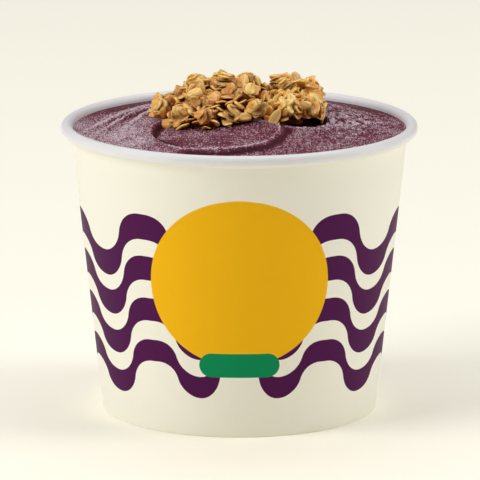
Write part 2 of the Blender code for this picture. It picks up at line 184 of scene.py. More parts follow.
# Frost, from 0 to 1: what each mark of the surface adds, and what a bare place takes away
MEAN_FROST = 0.44
PATCH_FROST = 0.20
PATCH_NOISE = (6.0 * MM, 5.0 * MM)
GRAIN_FROST = 0.24
GRAIN_NOISE = (1.1 * MM, 1.0 * MM)
LEFT_FROST = 0.28
LEFT_FADE = (-12.0 * MM, -30.0 * MM)
CREST_FROST = 1.2
CREST_PATCHINESS = 1.3
TROUGH_BARE = 0.40
CRACK_BARE = 0.45
RAGGED_MEAN = 0.75
RAGGEDNESS = 0.9
RAGGED_NOISE = (1.8 * MM, 7.0 * MM)
DISH_LIP_FROST = 1.6
DISH_LIP_PLACE = -0.15 * MM
DISH_LIP_WIDTH = 0.38 * MM
DISH_BARE = 0.10
# Frost taken away outside the dish's front lip: bare puree and painted shade on the lip's outer slope
OUTSIDE_BARE_AND_SHADE = 0.50
OUTSIDE_PLACE = 2.0 * MM
OUTSIDE_WIDTH = 1.5 * MM
# Frost taken away at the foot of the dish's left cliff: bare puree and painted shadow under the cliff
UNDERCUT_BARE_AND_SHADE = 0.5
UNDERCUT_PLACE = -1.2 * MM
UNDERCUT_WIDTH = 0.8 * MM
LEFT_OF_DISH = (-12.0 * MM, -18.0 * MM)
RIGHT_LIP_FROST = 0.30
RIGHT_LIP_WIDTH = 0.5 * MM
# Frost taken away in the right scoop: smooth bare puree and painted shadow under the heap's overhang
RIGHT_BARE_AND_SHADE = 0.95
RIGHT_BARE_AND_SHADE_FADE = (-1.6 * MM, -0.1 * MM)
BACK_LIP_FROST = 0.25
BACK_LIP_WIDTH = 1.1 * MM
BACK_BARE = 0.08
EDGE_SHARES = (0.85, 0.89)
EDGE_WAVINESS = 0.03
EDGE_FROST = 0.12
FAR_SHARES = (0.15, 0.5)
NEAR_EDGE_LOSS = 0.1
HIDDEN_FROST = 0.2

# Granola, as the solid has it
HEAP_CENTRE = Vector((0.0, 1.0 * MM))
HEAP_HALF_LENGTH = 22.3 * MM
HEAP_HALF_DEPTH = 14.6 * MM
HEAP_HEIGHT = 10.6 * MM
HEAP_SQUARENESS = 2.5
HEAP_STEEPNESS = 4
DIP_X = 7.0 * MM
DIP_WIDTH = 3.0 * MM
DIP_DEPTH = 1.6 * MM
OUTLINE_STEPS = 360
CLUSTER_RADIUS = 3.5 * MM
CLUSTER_SPACING = 7.0 * MM
CLUSTER_RING_SHARES = (0.85, 0.50, 0.14)
CLUSTER_SHIFT = 0.8 * MM
CLUSTER_LIFT = 0.8 * MM
LOWEST_RISE = 2.9 * MM
STACK_SHARE = 0.6
AXIS_LIMITS = ((-1.0, 1.0), (-1.0, 0.2), (0.2, 1.0))
HEAP_SEED = 99
GOLDEN_ANGLE = math.pi * (3 - math.sqrt(5))

# Granola, shifted a little from the solid
RIGHT_START = (8.0 * MM, 13.0 * MM)
FRONT_START = (-3.0 * MM, -8.0 * MM)
FRONT_SET_BACK = 3.2 * MM
RIGHT_RAISE = 1.7 * MM
FRONT_RAISE = 0.9 * MM
NOTCH_X = 6.3 * MM
NOTCH_PUSH = 1.5 * MM
NOTCH_REACH = 7.0 * MM
CREST_START = (-5.0 * MM, -1.0 * MM)
# Places across the heap, and how much its crest is raised at each, both in mm
CREST_PLACES = (-14.0, -10.6, -6.0, 0.0, 4.0, 8.5, 12.0, 18.0)
CREST_RAISES = (-0.4, -1.6, -0.1, 0.2, 0.0, 0.5, 0.9, 0.5)

# Flakes of the granola. Heights and reaches round a cluster are shares of its radius
LENGTH_SPREAD = (0.80, 1.15)
ROSETTE_HEIGHTS = (0.97, -0.62)
ROSETTE_REACH = (0.58, 0.95)
ROSETTE_TILT = 0.85
ROSETTE_TONES = (0.2, 0.75)
ROSETTE_TONE_SPREAD = 0.4
# Painted light: how much paler the flakes high on a cluster are painted, and darker the low ones
TOP_PAINTED_LIGHT = 0.32
PAGE_TILT = 0.2
PAGE_REACH = 0.84
PAGE_SHIFT = 0.12
PAGE_TAPER = 0.22
STACK_TONES = (0.1, 0.6)
STACK_TONE_SPREAD = 0.25
COVER_REACH = 0.97
COVER_FILL = 0.66
COVER_LIFTS = (-1.0 * MM, 0.4 * MM)
COVER_LOWEST = 0.6 * MM
COVER_TILT = 0.9
COVER_TONES = (0.2, 0.9)
# Painted shade on the oats deep in the heap: shares of a cluster's radius where the shade is full and where
# it ends, shares of the heap's height where the shade between clusters is full and where it ends, and the
# least heap height that has it
CREVICE_SHADE_SHARES = (0.36, 0.88)
CREVICE_SHADE_LEVELS = (0.55, 0.85)
CREVICE_SHADE_HEIGHT = 4.0 * MM

# Ovals one unit long, which are flakes when thin and kernels when thick
OVAL_CORNERS = 14
OVAL_RINGS = (0.50, 0.90)
OVAL_THINNING = 0.35
OVAL_LEANS = (0.02, 0.14)
OVAL_TWISTS = (-0.5, 0.5)
OVAL_RIPPLES = (0.02, 0.06)
OVAL_RIPPLES_ROUND = 3
OVAL_ARCHES = (-0.10, 0.45)
OVAL_GROOVE = 0.06
OVAL_FOLD = math.radians(48)
FLAKE_VARIANTS = 12
FLAKE_SHAPE = {
    "width": (0.62, 0.84),
    "thickness": (0.13, 0.19),
    "bow": (0.10, 0.55),
    "ragged": 0.08,
    "crease": (0.03, 0.08),
}
KERNEL_VARIANTS = 4
KERNEL_SHAPE = {
    "width": (0.46, 0.56),
    "thickness": (0.28, 0.36),
    "bow": 0.1,
    "ragged": 0.015,
    "crease": 0.03,
}
# Kernels that stand out: place in the plan, height over the puree, way the face looks, and length
KERNELS = (
    ((5.2 * MM, -12.6 * MM), 3.0 * MM, (0.2, -1.0, 0.25), 4.9 * MM),
    ((8.9 * MM, -13.0 * MM), 2.6 * MM, (0.35, -1.0, 0.15), 4.6 * MM),
    ((1.0 * MM, -12.8 * MM), 2.0 * MM, (0.1, -0.8, 0.6), 4.5 * MM),
)
KERNEL_TONE = 0.35
CRUMBS_PER_CLUSTER = 5
CRUMB_LENGTHS = (0.7 * MM, 1.4 * MM)
CRUMB_REACH = (0.5, 0.78)
CRUMB_LOWEST = 0.4 * MM
CRUMB_TONE = 0.7

# Crust under the flakes: each roughness is its height, its size and the level at which it is read
CORE_SEGMENTS = 110
CORE_RINGS = 26
CORE_REACH = 0.74
CORE_FILL = 0.5
CORE_FRONT = (3.0 * MM, -2.0 * MM)
CORE_EDGE_SHARES = (0.82, 1.0)
CORE_ROUGHNESS = ((0.9 * MM, 2.4 * MM, 0.0), (0.5 * MM, 0.9 * MM, 9.0 * MM))
CORE_SINK = 0.3 * MM
CORE_DEPTH = 1.5 * MM
CORE_LEAST_DEPTH = 0.2 * MM

# Camera, fitted to the photograph's rim, body and foot
CAMERA_ELEVATION = math.radians(12.52)
CAMERA_DISTANCE = 1.5
CAMERA_AIM = Vector((0.15 * MM, 0.0, 42.77 * MM))
SENSOR_WIDTH = 36.0
CAMERA_LENS = 444.3

# Floor and lights. A softbox is its name, its azimuth and elevation in degrees, its distance and its size
FLOOR_GLOW = 0.14
FLOOR_SIDES = 96
AMBIENT_COLOUR = (1.0, 0.985, 0.96, 1.0)
SOFTBOXES = (
    ("key", -67.0, 30.0, 1.5, (0.9, 1.1)),
    ("fill", 85.0, 24.0, 1.6, (0.8, 1.0)),
    ("top", 180.0, 80.0, 2.0, (2.4, 2.4)),
)


def screen_colour(red, green, blue):
    """Linear colour of a screen colour whose parts run to 255."""
    shares = [part / 255 for part in (red, green, blue)]
    return [s / 12.92 if s <= 0.04045 else ((s + 0.055) / 1.055) ** 2.4 for s in shares]


def colour_property(name, description, screen):
    linear = screen_colour(*screen)
    return FloatVectorProperty(
        name=name, description=description, subtype="COLOR", size=3, min=0, max=1, default=linear
    )


def length_property(name, description, default):
    kind = {"unit": "LENGTH", "subtype": "DISTANCE", "precision": 5, "min": 0}
    return FloatProperty(name=name, description=description, default=default, **kind)


def share_property(name, description, default):
    return FloatProperty(
        name=name, description=description, subtype="FACTOR", min=0, max=1, default=default
    )


class TubLook(bpy.types.PropertyGroup):
    """Print and paper of the tub."""

    cream: colour_property("Cream", "Ground of the printed wrap", (248, 245, 231))
    wave: colour_property("Wave", "Wavy bands", (80, 24, 76))
    disc: colour_property("Disc", "Round field on the front", (248, 187, 22))
    pill: colour_property("Pill", "Small field with round ends", (14, 140, 88))
    paper: colour_property("Paper", "White board of the rim, inside and base", (233, 232, 233))
    band_bottom: length_property("Band level", "Middle of the lowest band in its troughs", 11.3 * MM)
    band_rise: length_property("Band rise", "Height of the lowest band's crests over its troughs", 10.0 * MM)
    band_pitch: length_property("Band pitch", "From band to band, in the troughs", 10.2 * MM)
    crest_pitch: length_property("Crest pitch", "From band to band, in the crests", 10.67 * MM)
    band_height: length_property("Band height", "Height of the lowest band", 5.6 * MM)
    band_growth: length_property("Band growth", "How much higher each band is than the one below", 0.32 * MM)
    roundness: share_property("Roundness", "How round the bands turn, 1 for full circles", 0.965)
    front_rise: length_property("Front rise", "How much higher the bands lie in front", 1.6 * MM)
    disc_level: length_property("Disc level", "Height of the disc's middle", 40.2 * MM)
    disc_height: length_property("Disc half height", "Half of the disc's height", 21.45 * MM)
    disc_width: length_property("Disc half width", "Half of the disc's width along the wall", 23.3 * MM)
    pill_level: length_property("Pill level", "Height of the pill's middle", 18.9 * MM)
    pill_height: length_property("Pill half height", "Half of the pill's height", 3.1 * MM)
    pill_width: length_property("Pill half width", "Half of the pill's width along the wall", 10.1 * MM)
    ribs: IntProperty(name="Heel ribs", description="Crimps round the inside of the heel", default=84)


class PureeLook(bpy.types.PropertyGroup):
    """Colours of the puree and its frost."""

    deep: colour_property("Deep", "Smooth wet puree", (60, 14, 32))
    body: colour_property("Body", "Puree in the light", (100, 27, 48))
    haze: colour_property("Haze", "Thin frost on the puree", (204, 156, 174))
    crystal: colour_property("Crystals", "Frost crystals", (252, 240, 246))
    density: FloatProperty(name="Crystals", description="Crystals per square metre", default=1.6e7)
    smallest: length_property("Smallest crystal", "Size of the smallest crystals", 0.11 * MM)
    largest: length_property("Largest crystal", "Size of the largest crystals", 0.27 * MM)
    seed: IntProperty(name="Seed", description="Seed of the crystals' places", default=4)


class GranolaLook(bpy.types.PropertyGroup):
    """Colours and sizes of the oats."""

    # Pale is also painted on the flakes' edges as a painted highlight, and on the tops of clusters as
    # painted light
    pale: colour_property("Pale", "Least toasted oats", (255, 221, 132))
    golden: colour_property("Golden", "Toasted oats", (246, 152, 42))
    brown: colour_property("Brown", "Edges and creases", (170, 80, 18))
    # This dark colour is also painted on the oats deep in the heap, as painted shade
    crust_and_shade: colour_property("Crust", "What holds the oats together", (128, 50, 8))
    rosette: IntProperty(name="Rosette flakes", description="Flakes round a cluster", default=26)
    pages: IntProperty(name="Pages", description="Flakes in a stack", default=10)
    flake: length_property("Flake length", "Mean length of the flakes round a cluster", 3.7 * MM)
    cover: IntProperty(name="Loose flakes", description="Flakes between the clusters", default=320)
    page: length_property("Page length", "Mean length of the flakes in a stack", 4.6 * MM)
    seed: IntProperty(name="Seed", description="Seed of the flakes' places", default=31)


class StageLook(bpy.types.PropertyGroup):
    """Floor, lights and camera."""

    backdrop: colour_property("Backdrop", "Background and floor", (249, 245, 231))
    ambient: FloatProperty(name="Ambient", description="Strength of the light from all round", default=0.03)
    key: FloatProperty(name="Key", description="Power of the left softbox in watts", default=13.4)
    fill: FloatProperty(name="Fill", description="Power of the right softbox in watts", default=10.8)
    top: FloatProperty(name="Top", description="Power of the softbox above in watts", default=30.0)
    floor_radius: length_property("Floor radius", "Radius of the floor", 3.0)


def looks():
    return bpy.context.scene.acai_tub


# Meshes


def smooth_step(low, high, value):
    share = np.clip((value - low) / (high - low), 0.0, 1.0)
    return share * share * (3 - 2 * share)


def bump(distance, width):
    return np.exp(-((distance / width) ** 2))


def circle_angles(count):
    return [2 * math.pi * index / count for index in range(count)]


def perlin(x, y, size, slice_height):
    """Smooth noise over the plan, at one number or a whole array of them."""
    read = np.vectorize(lambda a, b: noise.noise((a / size, b / size, slice_height / size)))
    return read(x, y)


def chunks(x, y, size, slice_height):
    """Broken pieces side by side: 0 in the cracks between them, 1 on their flat tops."""

    def off_crack(a, b):
        nearest, second = noise.voronoi((a / size, b / size, slice_height / size))[0][:2]
        return min(1.0, (second - nearest) / CRACK_WIDTH)

    return np.vectorize(off_crack)(x, y)


def linked_object(name, mesh):
    obj = bpy.data.objects.new(name, mesh)
    bpy.context.scene.collection.objects.link(obj)
    return obj


def object_from(name, bm, materials):
    """Turns a bmesh into a smooth object with its materials."""
    mesh = bpy.data.meshes.new(name)
    bm.to_mesh(mesh)
    bm.free()
    mesh.shade_smooth()
    for made in materials:
        mesh.materials.append(made)
    return linked_object(name, mesh)


def add_values(mesh, name, values, kind="FLOAT"):
    """Stores a value for each point, which a node tree reads by its name."""
    made = mesh.attributes.new(name, kind, "POINT")
    part = "vector" if kind == "FLOAT_VECTOR" else "value"
    plain = np.int32 if kind == "INT" else np.float32
    made.data.foreach_set(part, np.asarray(values, dtype=plain).ravel())


def plain_mesh(obj):
    """Keeps what the object's modifier makes as a plain mesh, and removes the modifier."""
    graph = bpy.context.evaluated_depsgraph_get()
    made = bpy.data.meshes.new_from_object(
        obj.evaluated_get(graph), preserve_all_data_layers=True, depsgraph=graph
    )
    obj.modifiers.clear()
    obj.data = made
    return obj


def hand_over(obj, replaced=None):
    """Attaches a piece to the body it rides on, and hides the model's node that it replaces."""
    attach(obj, BODY)
    if replaced:
        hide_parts(replaced)


# Node trees


def feed(tree, socket, value):
    """Links a number, a socket or a node's first output into a socket, or sets a plain value there."""
    if isinstance(value, Number):
        value = value.source
    if isinstance(value, bpy.types.Node):
        value = value.outputs[0]
    if isinstance(value, bpy.types.NodeSocket):
        tree.links.new(value, socket)
    else:
        socket.default_value = value


def add_node(tree, kind, settings=None, **inputs):
    """Adds a node with its settings, and feeds the inputs that are named."""
    node = tree.nodes.new(kind)
    for label, value in (settings or {}).items():
        setattr(node, label, value)
    for label, value in inputs.items():
        feed(tree, node.inputs[label.replace("_", " ").title()], value)
    return node


class Number:
    """A number in a node tree. The usual signs work on it, each through a Math node."""

    def __init__(self, tree, source):
        self.tree = tree
        self.source = source

    def math(self, operation, *others):
        node = add_node(self.tree, "ShaderNodeMath", {"operation": operation})
        for socket, value in zip(node.inputs, (self, *others)):
            feed(self.tree, socket, value)
        return Number(self.tree, node.outputs[0])

    __add__ = partialmethod(math, "ADD")
    __sub__ = partialmethod(math, "SUBTRACT")
    __mul__ = partialmethod(math, "MULTIPLY")
    __truediv__ = partialmethod(math, "DIVIDE")
    __pow__ = partialmethod(math, "POWER")
    __lt__ = partialmethod(math, "LESS_THAN")
    __gt__ = partialmethod(math, "GREATER_THAN")
    __abs__ = partialmethod(math, "ABSOLUTE")

    def __neg__(self):
        return self * -1.0

    def ramp(self, low, high, kind):
        settings = {"interpolation_type": kind}
        node = add_node(self.tree, "ShaderNodeMapRange", settings, Value=self, From_Min=low, From_Max=high)
        return Number(self.tree, node.outputs["Result"])

    def between(self, low, high):
        """0 up to low, 1 from high on, smooth in between."""
        return self.ramp(low, high, "SMOOTHSTEP")

    def share(self, low, high):
        """0 up to low, 1 from high on, straight in between."""
        return self.ramp(low, high, "LINEAR")

    def s_curve(self, roundness):
        """Turns a share into an S of two round arcs, nearly upright in its middle."""
        signed = self * 2.0 - 1.0
        inwards = (-abs(signed) + 1.0) * roundness
        arc_height = -((-(inwards * inwards) + 1.0).math("SQRT")) + 1.0
        half = -(arc_height * (0.5 / (1 - math.sqrt(1 - roundness**2)))) + 0.5
        return signed.math("SIGN") * half + 0.5


def mixed(tree, mask, below, above):
    """Colour that turns from one to the other where the mask is 1."""
    node = add_node(tree, "ShaderNodeMix", {"data_type": "RGBA"}, Factor=mask)
    for socket, value in zip(node.inputs[6:8], (below, above)):
        plain = not isinstance(value, bpy.types.NodeSocket)
        feed(tree, socket, (*value, 1.0) if plain else value)
    return node.outputs[2]


def attribute(tree, name, output="Fac"):
    return add_node(tree, "ShaderNodeAttribute", {"attribute_name": name}).outputs[output]


def new_group(name, inputs, outputs):
    """An empty shader group of numbers, with its input and output nodes."""
    group = bpy.data.node_groups.new(name, "ShaderNodeTree")
    for label, default in inputs.items():
        socket = group.interface.new_socket(label, in_out="INPUT", socket_type="NodeSocketFloat")
        socket.default_value = default
    for label in outputs:
        group.interface.new_socket(label, in_out="OUTPUT", socket_type="NodeSocketFloat")
    return group, group.nodes.new("NodeGroupInput"), group.nodes.new("NodeGroupOutput")


def noise_at(tree, scale, vector=None, detail=2.0, roughness=0.5):
    """Noise over the object's own place, or over another vector."""
    place = vector or tree.nodes.new("ShaderNodeTexCoord").outputs["Object"]
    parts = {"Scale": scale, "Detail": detail, "Roughness": roughness, "Vector": place}
    return Number(tree, add_node(tree, "ShaderNodeTexNoise", **parts).outputs["Fac"])


def speckle_group():
    """Specks that cover more of the surface as Amount grows from 0 to 1."""
    name = "Specks"
    if name in bpy.data.node_groups:
        return bpy.data.node_groups[name]
    defaults = {"Scale": 2000.0, "Amount": 0.5, "Softness": 0.05}
    group, inner, outer = new_group(name, defaults, ("Mask", "Height"))
    field = noise_at(group, inner.outputs["Scale"], detail=3.0, roughness=0.6)
    edge = Number(group, inner.outputs["Amount"]) * -0.5 + 0.75
    softness = Number(group, inner.outputs["Softness"])
    feed(group, outer.inputs["Mask"], field.between(edge - softness, edge + softness))
    feed(group, outer.inputs["Height"], field)
    return group


def grain_group():
    """Fine uneven grain: a shade around 1 for the colour and a height for the bump."""
    name = "Grain"
    if name in bpy.data.node_groups:
        return bpy.data.node_groups[name]
    defaults = {"Scale": 1500.0, "Contrast": 0.1, "Patch Scale": 90.0, "Patch Contrast": 0.05}
    group, inner, outer = new_group(name, defaults, ("Shade", "Height"))
    fine = noise_at(group, inner.outputs["Scale"], detail=4.0, roughness=0.65)
    patches = noise_at(group, inner.outputs["Patch Scale"], detail=2.0)
    shade = (fine - 0.5) * inner.outputs["Contrast"] + (patches - 0.5) * inner.outputs["Patch Contrast"]
    feed(group, outer.inputs["Shade"], shade + 1.0)
    feed(group, outer.inputs["Height"], fine)
    return group


def place_group(tree, group, **values):
    """Places a shader group in a material with this material's own values."""
    node = add_node(tree, "ShaderNodeGroup", {"node_tree": group}, **values)
    return {socket.name: Number(tree, socket) for socket in node.outputs}


def shaded(tree, colour, shade):
    """Colour made lighter or darker by a shade around 1."""
    node = add_node(tree, "ShaderNodeVectorMath", {"operation": "SCALE"}, Scale=shade)
    feed(tree, node.inputs[0], colour)
    return node.outputs[0]


class Finish:
    """A Principled material in the making. Plain values are set on the shader's own sockets."""

    def __init__(self, name, plain=None):
        self.material = bpy.data.materials.new(name)
        self.material.use_nodes = True
        self.tree = self.material.node_tree
        self.shader = self.tree.nodes["Principled BSDF"]
        for label, value in (plain or {}).items():
            self.shader.inputs[label].default_value = value

    def feed(self, label, value):
        feed(self.tree, self.shader.inputs[label], value)

    def value(self, name):
        """Number that the mesh holds at each point."""
        return Number(self.tree, attribute(self.tree, name))

    def grain(self, **values):
        return place_group(self.tree, grain_group(), **values)

    def specks(self, **values):
        return place_group(self.tree, speckle_group(), **values)

    def mixed(self, mask, below, above):
        return mixed(self.tree, mask, below, above)

    def colour(self, colour, grain):
        """Sets the colour, made uneven by the grain."""
        self.feed("Base Color", shaded(self.tree, colour, grain["Shade"]))

    def bump(self, height, distance):
        node = add_node(self.tree, "ShaderNodeBump", Distance=distance, Height=height)
        self.feed("Normal", node)


def object_place(tree):
    """x, y and z of the object's own place, in metres."""
    place = tree.nodes.new("ShaderNodeTexCoord").outputs["Object"]
    return [Number(tree, part) for part in add_node(tree, "ShaderNodeSeparateXYZ", Vector=place).outputs]


# Materials


# Flanks of the bands from the front to the back: first and last angle in degrees, and the change in height
WAVE_FLANKS = (
    (0.0, 15.6, -1.0),
    (15.6, 34.2, 1.0),
    (36.1, 56.2, -1.0),
    (56.2, 77.3, 0.67),
    (77.3, 98.0, -0.67),
    (98.0, 118.5, 1.0),
    (118.5, 139.0, -1.0),
    (139.0, 159.5, 1.0),
    (159.5, 180.0, -1.0),
)
FLARE_LEVEL = 18.7 * MM
FLARE_RATE = 1.3
FLARE_FADE = (math.radians(110), math.radians(172))
FRONT_FADE = (math.radians(20), math.radians(36))
TOP_BAND = 3.0


def wave_mask(angle, z, look):
    """Wavy bands, the same on both sides of the front, and a little wider towards the rim."""
    flare = abs(angle).between(*FLARE_FADE) * -FLARE_RATE + FLARE_RATE
    side = abs(angle) / ((z - FLARE_LEVEL) * flare + 1.0)
    crest = 1.0
    for first, last, change in WAVE_FLANKS:
        flank = side.share(math.radians(first), math.radians(last)).s_curve(look.roundness)
        crest = flank * change + crest
    front = -abs(angle).between(*FRONT_FADE) + 1.0
    lowest = crest * look.band_rise + front * look.front_rise + look.band_bottom
    pitch = crest * (look.crest_pitch - look.band_pitch) + look.band_pitch
    band = ((z - lowest) / pitch).math("ROUND").math("MAXIMUM", 0.0).math("MINIMUM", TOP_BAND)
    half = band * (look.band_growth / 2) + look.band_height / 2
    return abs(z - (lowest + pitch * band)) < half


def disc_mask(along, z, look):
    across = along / look.disc_width
    up = (z - look.disc_level) / look.disc_height
    return across * across + up * up < 1.0


def pill_mask(along, z, look):
    past_end = (abs(along) - (look.pill_width - look.pill_height)).math("MAXIMUM", 0.0)
    up = z - look.pill_level
    return past_end * past_end + up * up < look.pill_height**2


def wrap_material():
    """Coated cream paper with its print."""
    look = looks().tub
    finish = Finish("printed_wrap", {"Specular IOR Level": 0.05})
    x, y, z = object_place(finish.tree)
    angle = x.math("ARCTAN2", -y)
    along = angle * (z * WALL_SLOPE + FOOT_RADIUS)
    grain = finish.grain(scale=2600.0, contrast=0.05, patch_scale=60.0, patch_contrast=0.035)
    colour = finish.mixed(wave_mask(angle, z, look), look.cream, look.wave)
    colour = finish.mixed(disc_mask(along, z, look), colour, look.disc)
    colour = finish.mixed(pill_mask(along, z, look), colour, look.pill)
    finish.colour(colour, grain)
    finish.feed("Roughness", grain["Height"] * 0.10 + 0.42)
    finish.bump(grain["Height"], 0.012 * MM)
    return finish.material


def board_material():
    """White coated board of the rim, the inside and the base."""
    name = "white_board"
    if name in bpy.data.materials:
        return bpy.data.materials[name]
    finish = Finish(name)
    grain = finish.grain(scale=3200.0, contrast=0.03, patch_scale=80.0, patch_contrast=0.03)
    finish.colour(looks().tub.paper, grain)
    finish.feed("Roughness", grain["Height"] * 0.12 + 0.36)
    finish.bump(grain["Height"], 0.010 * MM)
    return finish.material


def puree_material():
    """Dark puree that turns pale with haze and specks of frost."""
    look = looks().puree
    finish = Finish("frosted_puree", {"Specular IOR Level": 0.1})
    frost = finish.value("frost")
    grain = finish.grain(scale=2100.0, contrast=0.8, patch_scale=160.0, patch_contrast=0.25)
    specks = finish.specks(scale=2900.0, amount=frost * 0.60, softness=0.025)["Mask"]
    colour = finish.mixed(frost.between(0.0, 0.22), look.deep, look.body)
    colour = finish.mixed(frost.between(0.1, 0.95) * 0.38, colour, look.haze)
    colour = shaded(finish.tree, colour, grain["Shade"])
    finish.feed("Base Color", finish.mixed(specks * 0.85, colour, look.crystal))
    finish.feed("Roughness", frost.between(0.0, 0.5) * 0.32 + 0.34)
    finish.bump(grain["Height"] + specks * 0.5, 0.36 * MM)
    return finish.material


def crystal_material():
    """Clear to white ice."""
    look = looks().puree
    finish = Finish("frost_crystal")
    tone = finish.value("tone")
    finish.feed("Base Color", finish.mixed(tone, look.haze, look.crystal))
    finish.feed("Roughness", tone * 0.2 + 0.3)
    return finish.material


CREASE_REACH = 0.11
STREAK_SHIFT = 41.0


def oat_material(name, body, streaks):
    """Toasted oats: streaks run along each flake and its crease is browner. Each flake's edge is painted
    paler as a painted highlight, and what lies deep in the heap is painted darker as painted shade, with
    less coat there.
    """
    look = looks().granola
    finish = Finish(name, {"Specular IOR Level": 0.15, "Coat Roughness": 0.22})
    tree = finish.tree
    tone, rim, deep = [finish.value(label) for label in ("tone", "rim", "deep")]
    own = attribute(tree, "own", "Vector")
    shift = add_node(tree, "ShaderNodeCombineXYZ", X=tone * STREAK_SHIFT)
    stretched = add_node(tree, "ShaderNodeVectorMath", {"operation": "MULTIPLY_ADD"})
    for socket, value in zip(stretched.inputs, (own, streaks, shift)):
        feed(tree, socket, value)
    lines = noise_at(tree, 1.0, stretched.outputs[0], detail=3.0, roughness=0.6)
    specks = finish.specks(scale=1300.0, amount=0.42, softness=0.06)["Mask"]
    grain = finish.grain(scale=2200.0, contrast=0.35, patch_scale=300.0, patch_contrast=0.6)
    across = Number(tree, add_node(tree, "ShaderNodeSeparateXYZ", Vector=own).outputs["Y"])
    crease = -abs(across).between(0.0, CREASE_REACH) + 1.0
    brown = lines.between(0.5, 0.75) * 0.5 + crease * 0.4 - rim * 0.3
    colour = finish.mixed(tone.between(0.0, 1.0), look.pale, body)
    colour = finish.mixed(brown.between(0.0, 1.0), colour, look.brown)
    # Painted highlight: the flakes' edges are painted paler here, and the line above keeps them less brown
    colour = finish.mixed(rim.between(0.3, 1.0) * 0.4, colour, look.pale)
    # Painted shade: oats deep in a cluster or low between clusters turn towards this dark colour
    colour = finish.mixed(deep * 0.9, colour, look.crust_and_shade)
    finish.colour(finish.mixed(specks * 0.25, colour, look.pale), grain)
    finish.feed("Roughness", lines * 0.25 + 0.38)
    # The coat is taken away where the shade is painted
    finish.feed("Coat Weight", deep * -0.85 + 0.85)
    finish.bump(lines + grain["Height"] * 0.8, 0.12 * MM)
    return finish.material


def crust_material():
    """Dark toasted crumb and syrup between the flakes."""
    look = looks().granola
    finish = Finish("toasted_crust", {"Specular IOR Level": 0.3})
    grain = finish.grain(scale=1400.0, contrast=0.6, patch_scale=400.0, patch_contrast=0.6)
    specks = finish.specks(scale=900.0, amount=0.45, softness=0.08)["Mask"]
    finish.colour(finish.mixed(specks, look.crust_and_shade, look.brown), grain)
    finish.feed("Roughness", grain["Height"] * 0.2 + 0.6)
    finish.bump(grain["Height"], 0.2 * MM)
    return finish.material


def floor_material():
    """Pale floor that glows a little, so that it stays as light as the backdrop."""
    pale = looks().stage.backdrop
    plain = {"Specular IOR Level": 0.2, "Emission Strength": FLOOR_GLOW, "Emission Color": (*pale, 1.0)}
    finish = Finish("floor", plain)
    grain = finish.grain(scale=400.0, contrast=0.01, patch_scale=6.0, patch_contrast=0.02)
    finish.colour(pale, grain)
    finish.feed("Roughness", grain["Height"] * 0.1 + 0.75)
    return finish.material


# Tub


def wall_outside(z):
    return FOOT_RADIUS + WALL_SLOPE * z


def wall_inside(z):
    return wall_outside(z) - BOARD


def arc(centre_radius, centre_z, size, first, last, steps):
    """(radius, z) of points on an arc in the profile."""
    angles = [first + (last - first) * step / steps for step in range(steps + 1)]
    return [(centre_radius + size * math.cos(a), centre_z + size * math.sin(a)) for a in angles]


def wall_profile():
    """(radius, z) round the wall blank, and how many of its first stretches carry the print."""
    seam_top = ROLL_CENTRE_Z - SEAM_TOP_GAP
    first = 2 * math.pi - math.acos((WALL_TOP_RADIUS - ROLL_CENTRE_RADIUS) / ROLL_RADIUS)
    last = 3 * math.pi
    fold = arc(FOOT_RADIUS - BOARD, BOARD, BOARD, -math.pi / 2, 0.0, FOLD_STEPS)
    side = [seam_top * step / WALL_STEPS for step in range(1, WALL_STEPS + 1)]
    outside = fold[:-1] + [(wall_outside(z), z) for z in side]
    printed = len(outside)
    roll = arc(ROLL_CENTRE_RADIUS, ROLL_CENTRE_Z, ROLL_RADIUS, first, last, ROLL_STEPS)
    inside = [
        (wall_inside(BOARD), BOARD),
        (wall_inside(BOARD) - SLOT_WIDTH, BOARD),
        (wall_inside(HEEL_HEIGHT) - SLOT_WIDTH, HEEL_HEIGHT),
        (wall_inside(HEEL_HEIGHT) - SLOT_WIDTH - BOARD, HEEL_HEIGHT),
        (wall_inside(0.0) - SLOT_WIDTH - BOARD, 0.0),
    ]
    return outside + roll + inside, printed


def lap_lift(angle, radius, z):
    """How far the outer ply stands out towards its cut edge at the back."""
    behind = SEAM_ANGLE - angle
    if not -SEAM_STEP / 2 < behind < SEAM_RAMP or radius < wall_outside(z) - BOARD / 2:
        return 0.0
    seam_top = ROLL_CENTRE_Z - SEAM_TOP_GAP
    fade = 1 - smooth_step(seam_top, seam_top + SEAM_FADE, z)
    return BOARD * fade * (1 - max(behind, 0.0) / SEAM_RAMP)


def turned(profile, angles, lift):
    """Closed bmesh of a profile turned through the angles, with faces in profile order."""
    bm = bmesh.new()
    columns = []
    for angle in angles:
        column = []
        for radius, z in profile:
            out = radius + lift(angle, radius, z)
            column.append(bm.verts.new((out * math.cos(angle), out * math.sin(angle), z)))
        columns.append(column)
    count = len(profile)
    for column, after in zip(columns, columns[1:] + columns[:1]):
        for index in range(count):
            up = (index + 1) % count
            face = bm.faces.new((column[index], after[index], after[up], column[up]))
            face.smooth = True
            face.material_index = index
    return bm


def tub_angles():
    """Even steps round the wall, and one more just past the lap's cut edge."""
    return sorted(circle_angles(TUB_STEPS) + [SEAM_ANGLE + SEAM_STEP])


def make_tub_wall():
    profile, printed = wall_profile()
    bm = turned(profile, tub_angles(), lap_lift)
    for face in bm.faces:
        face.material_index = 0 if face.material_index < printed else 1
    bmesh.ops.recalc_face_normals(bm, faces=bm.faces)
    obj = object_from("tub_wall", bm, (wrap_material(), board_material()))
    obj.data.set_sharp_from_angle(angle=SHARP_FOLD)
    return obj


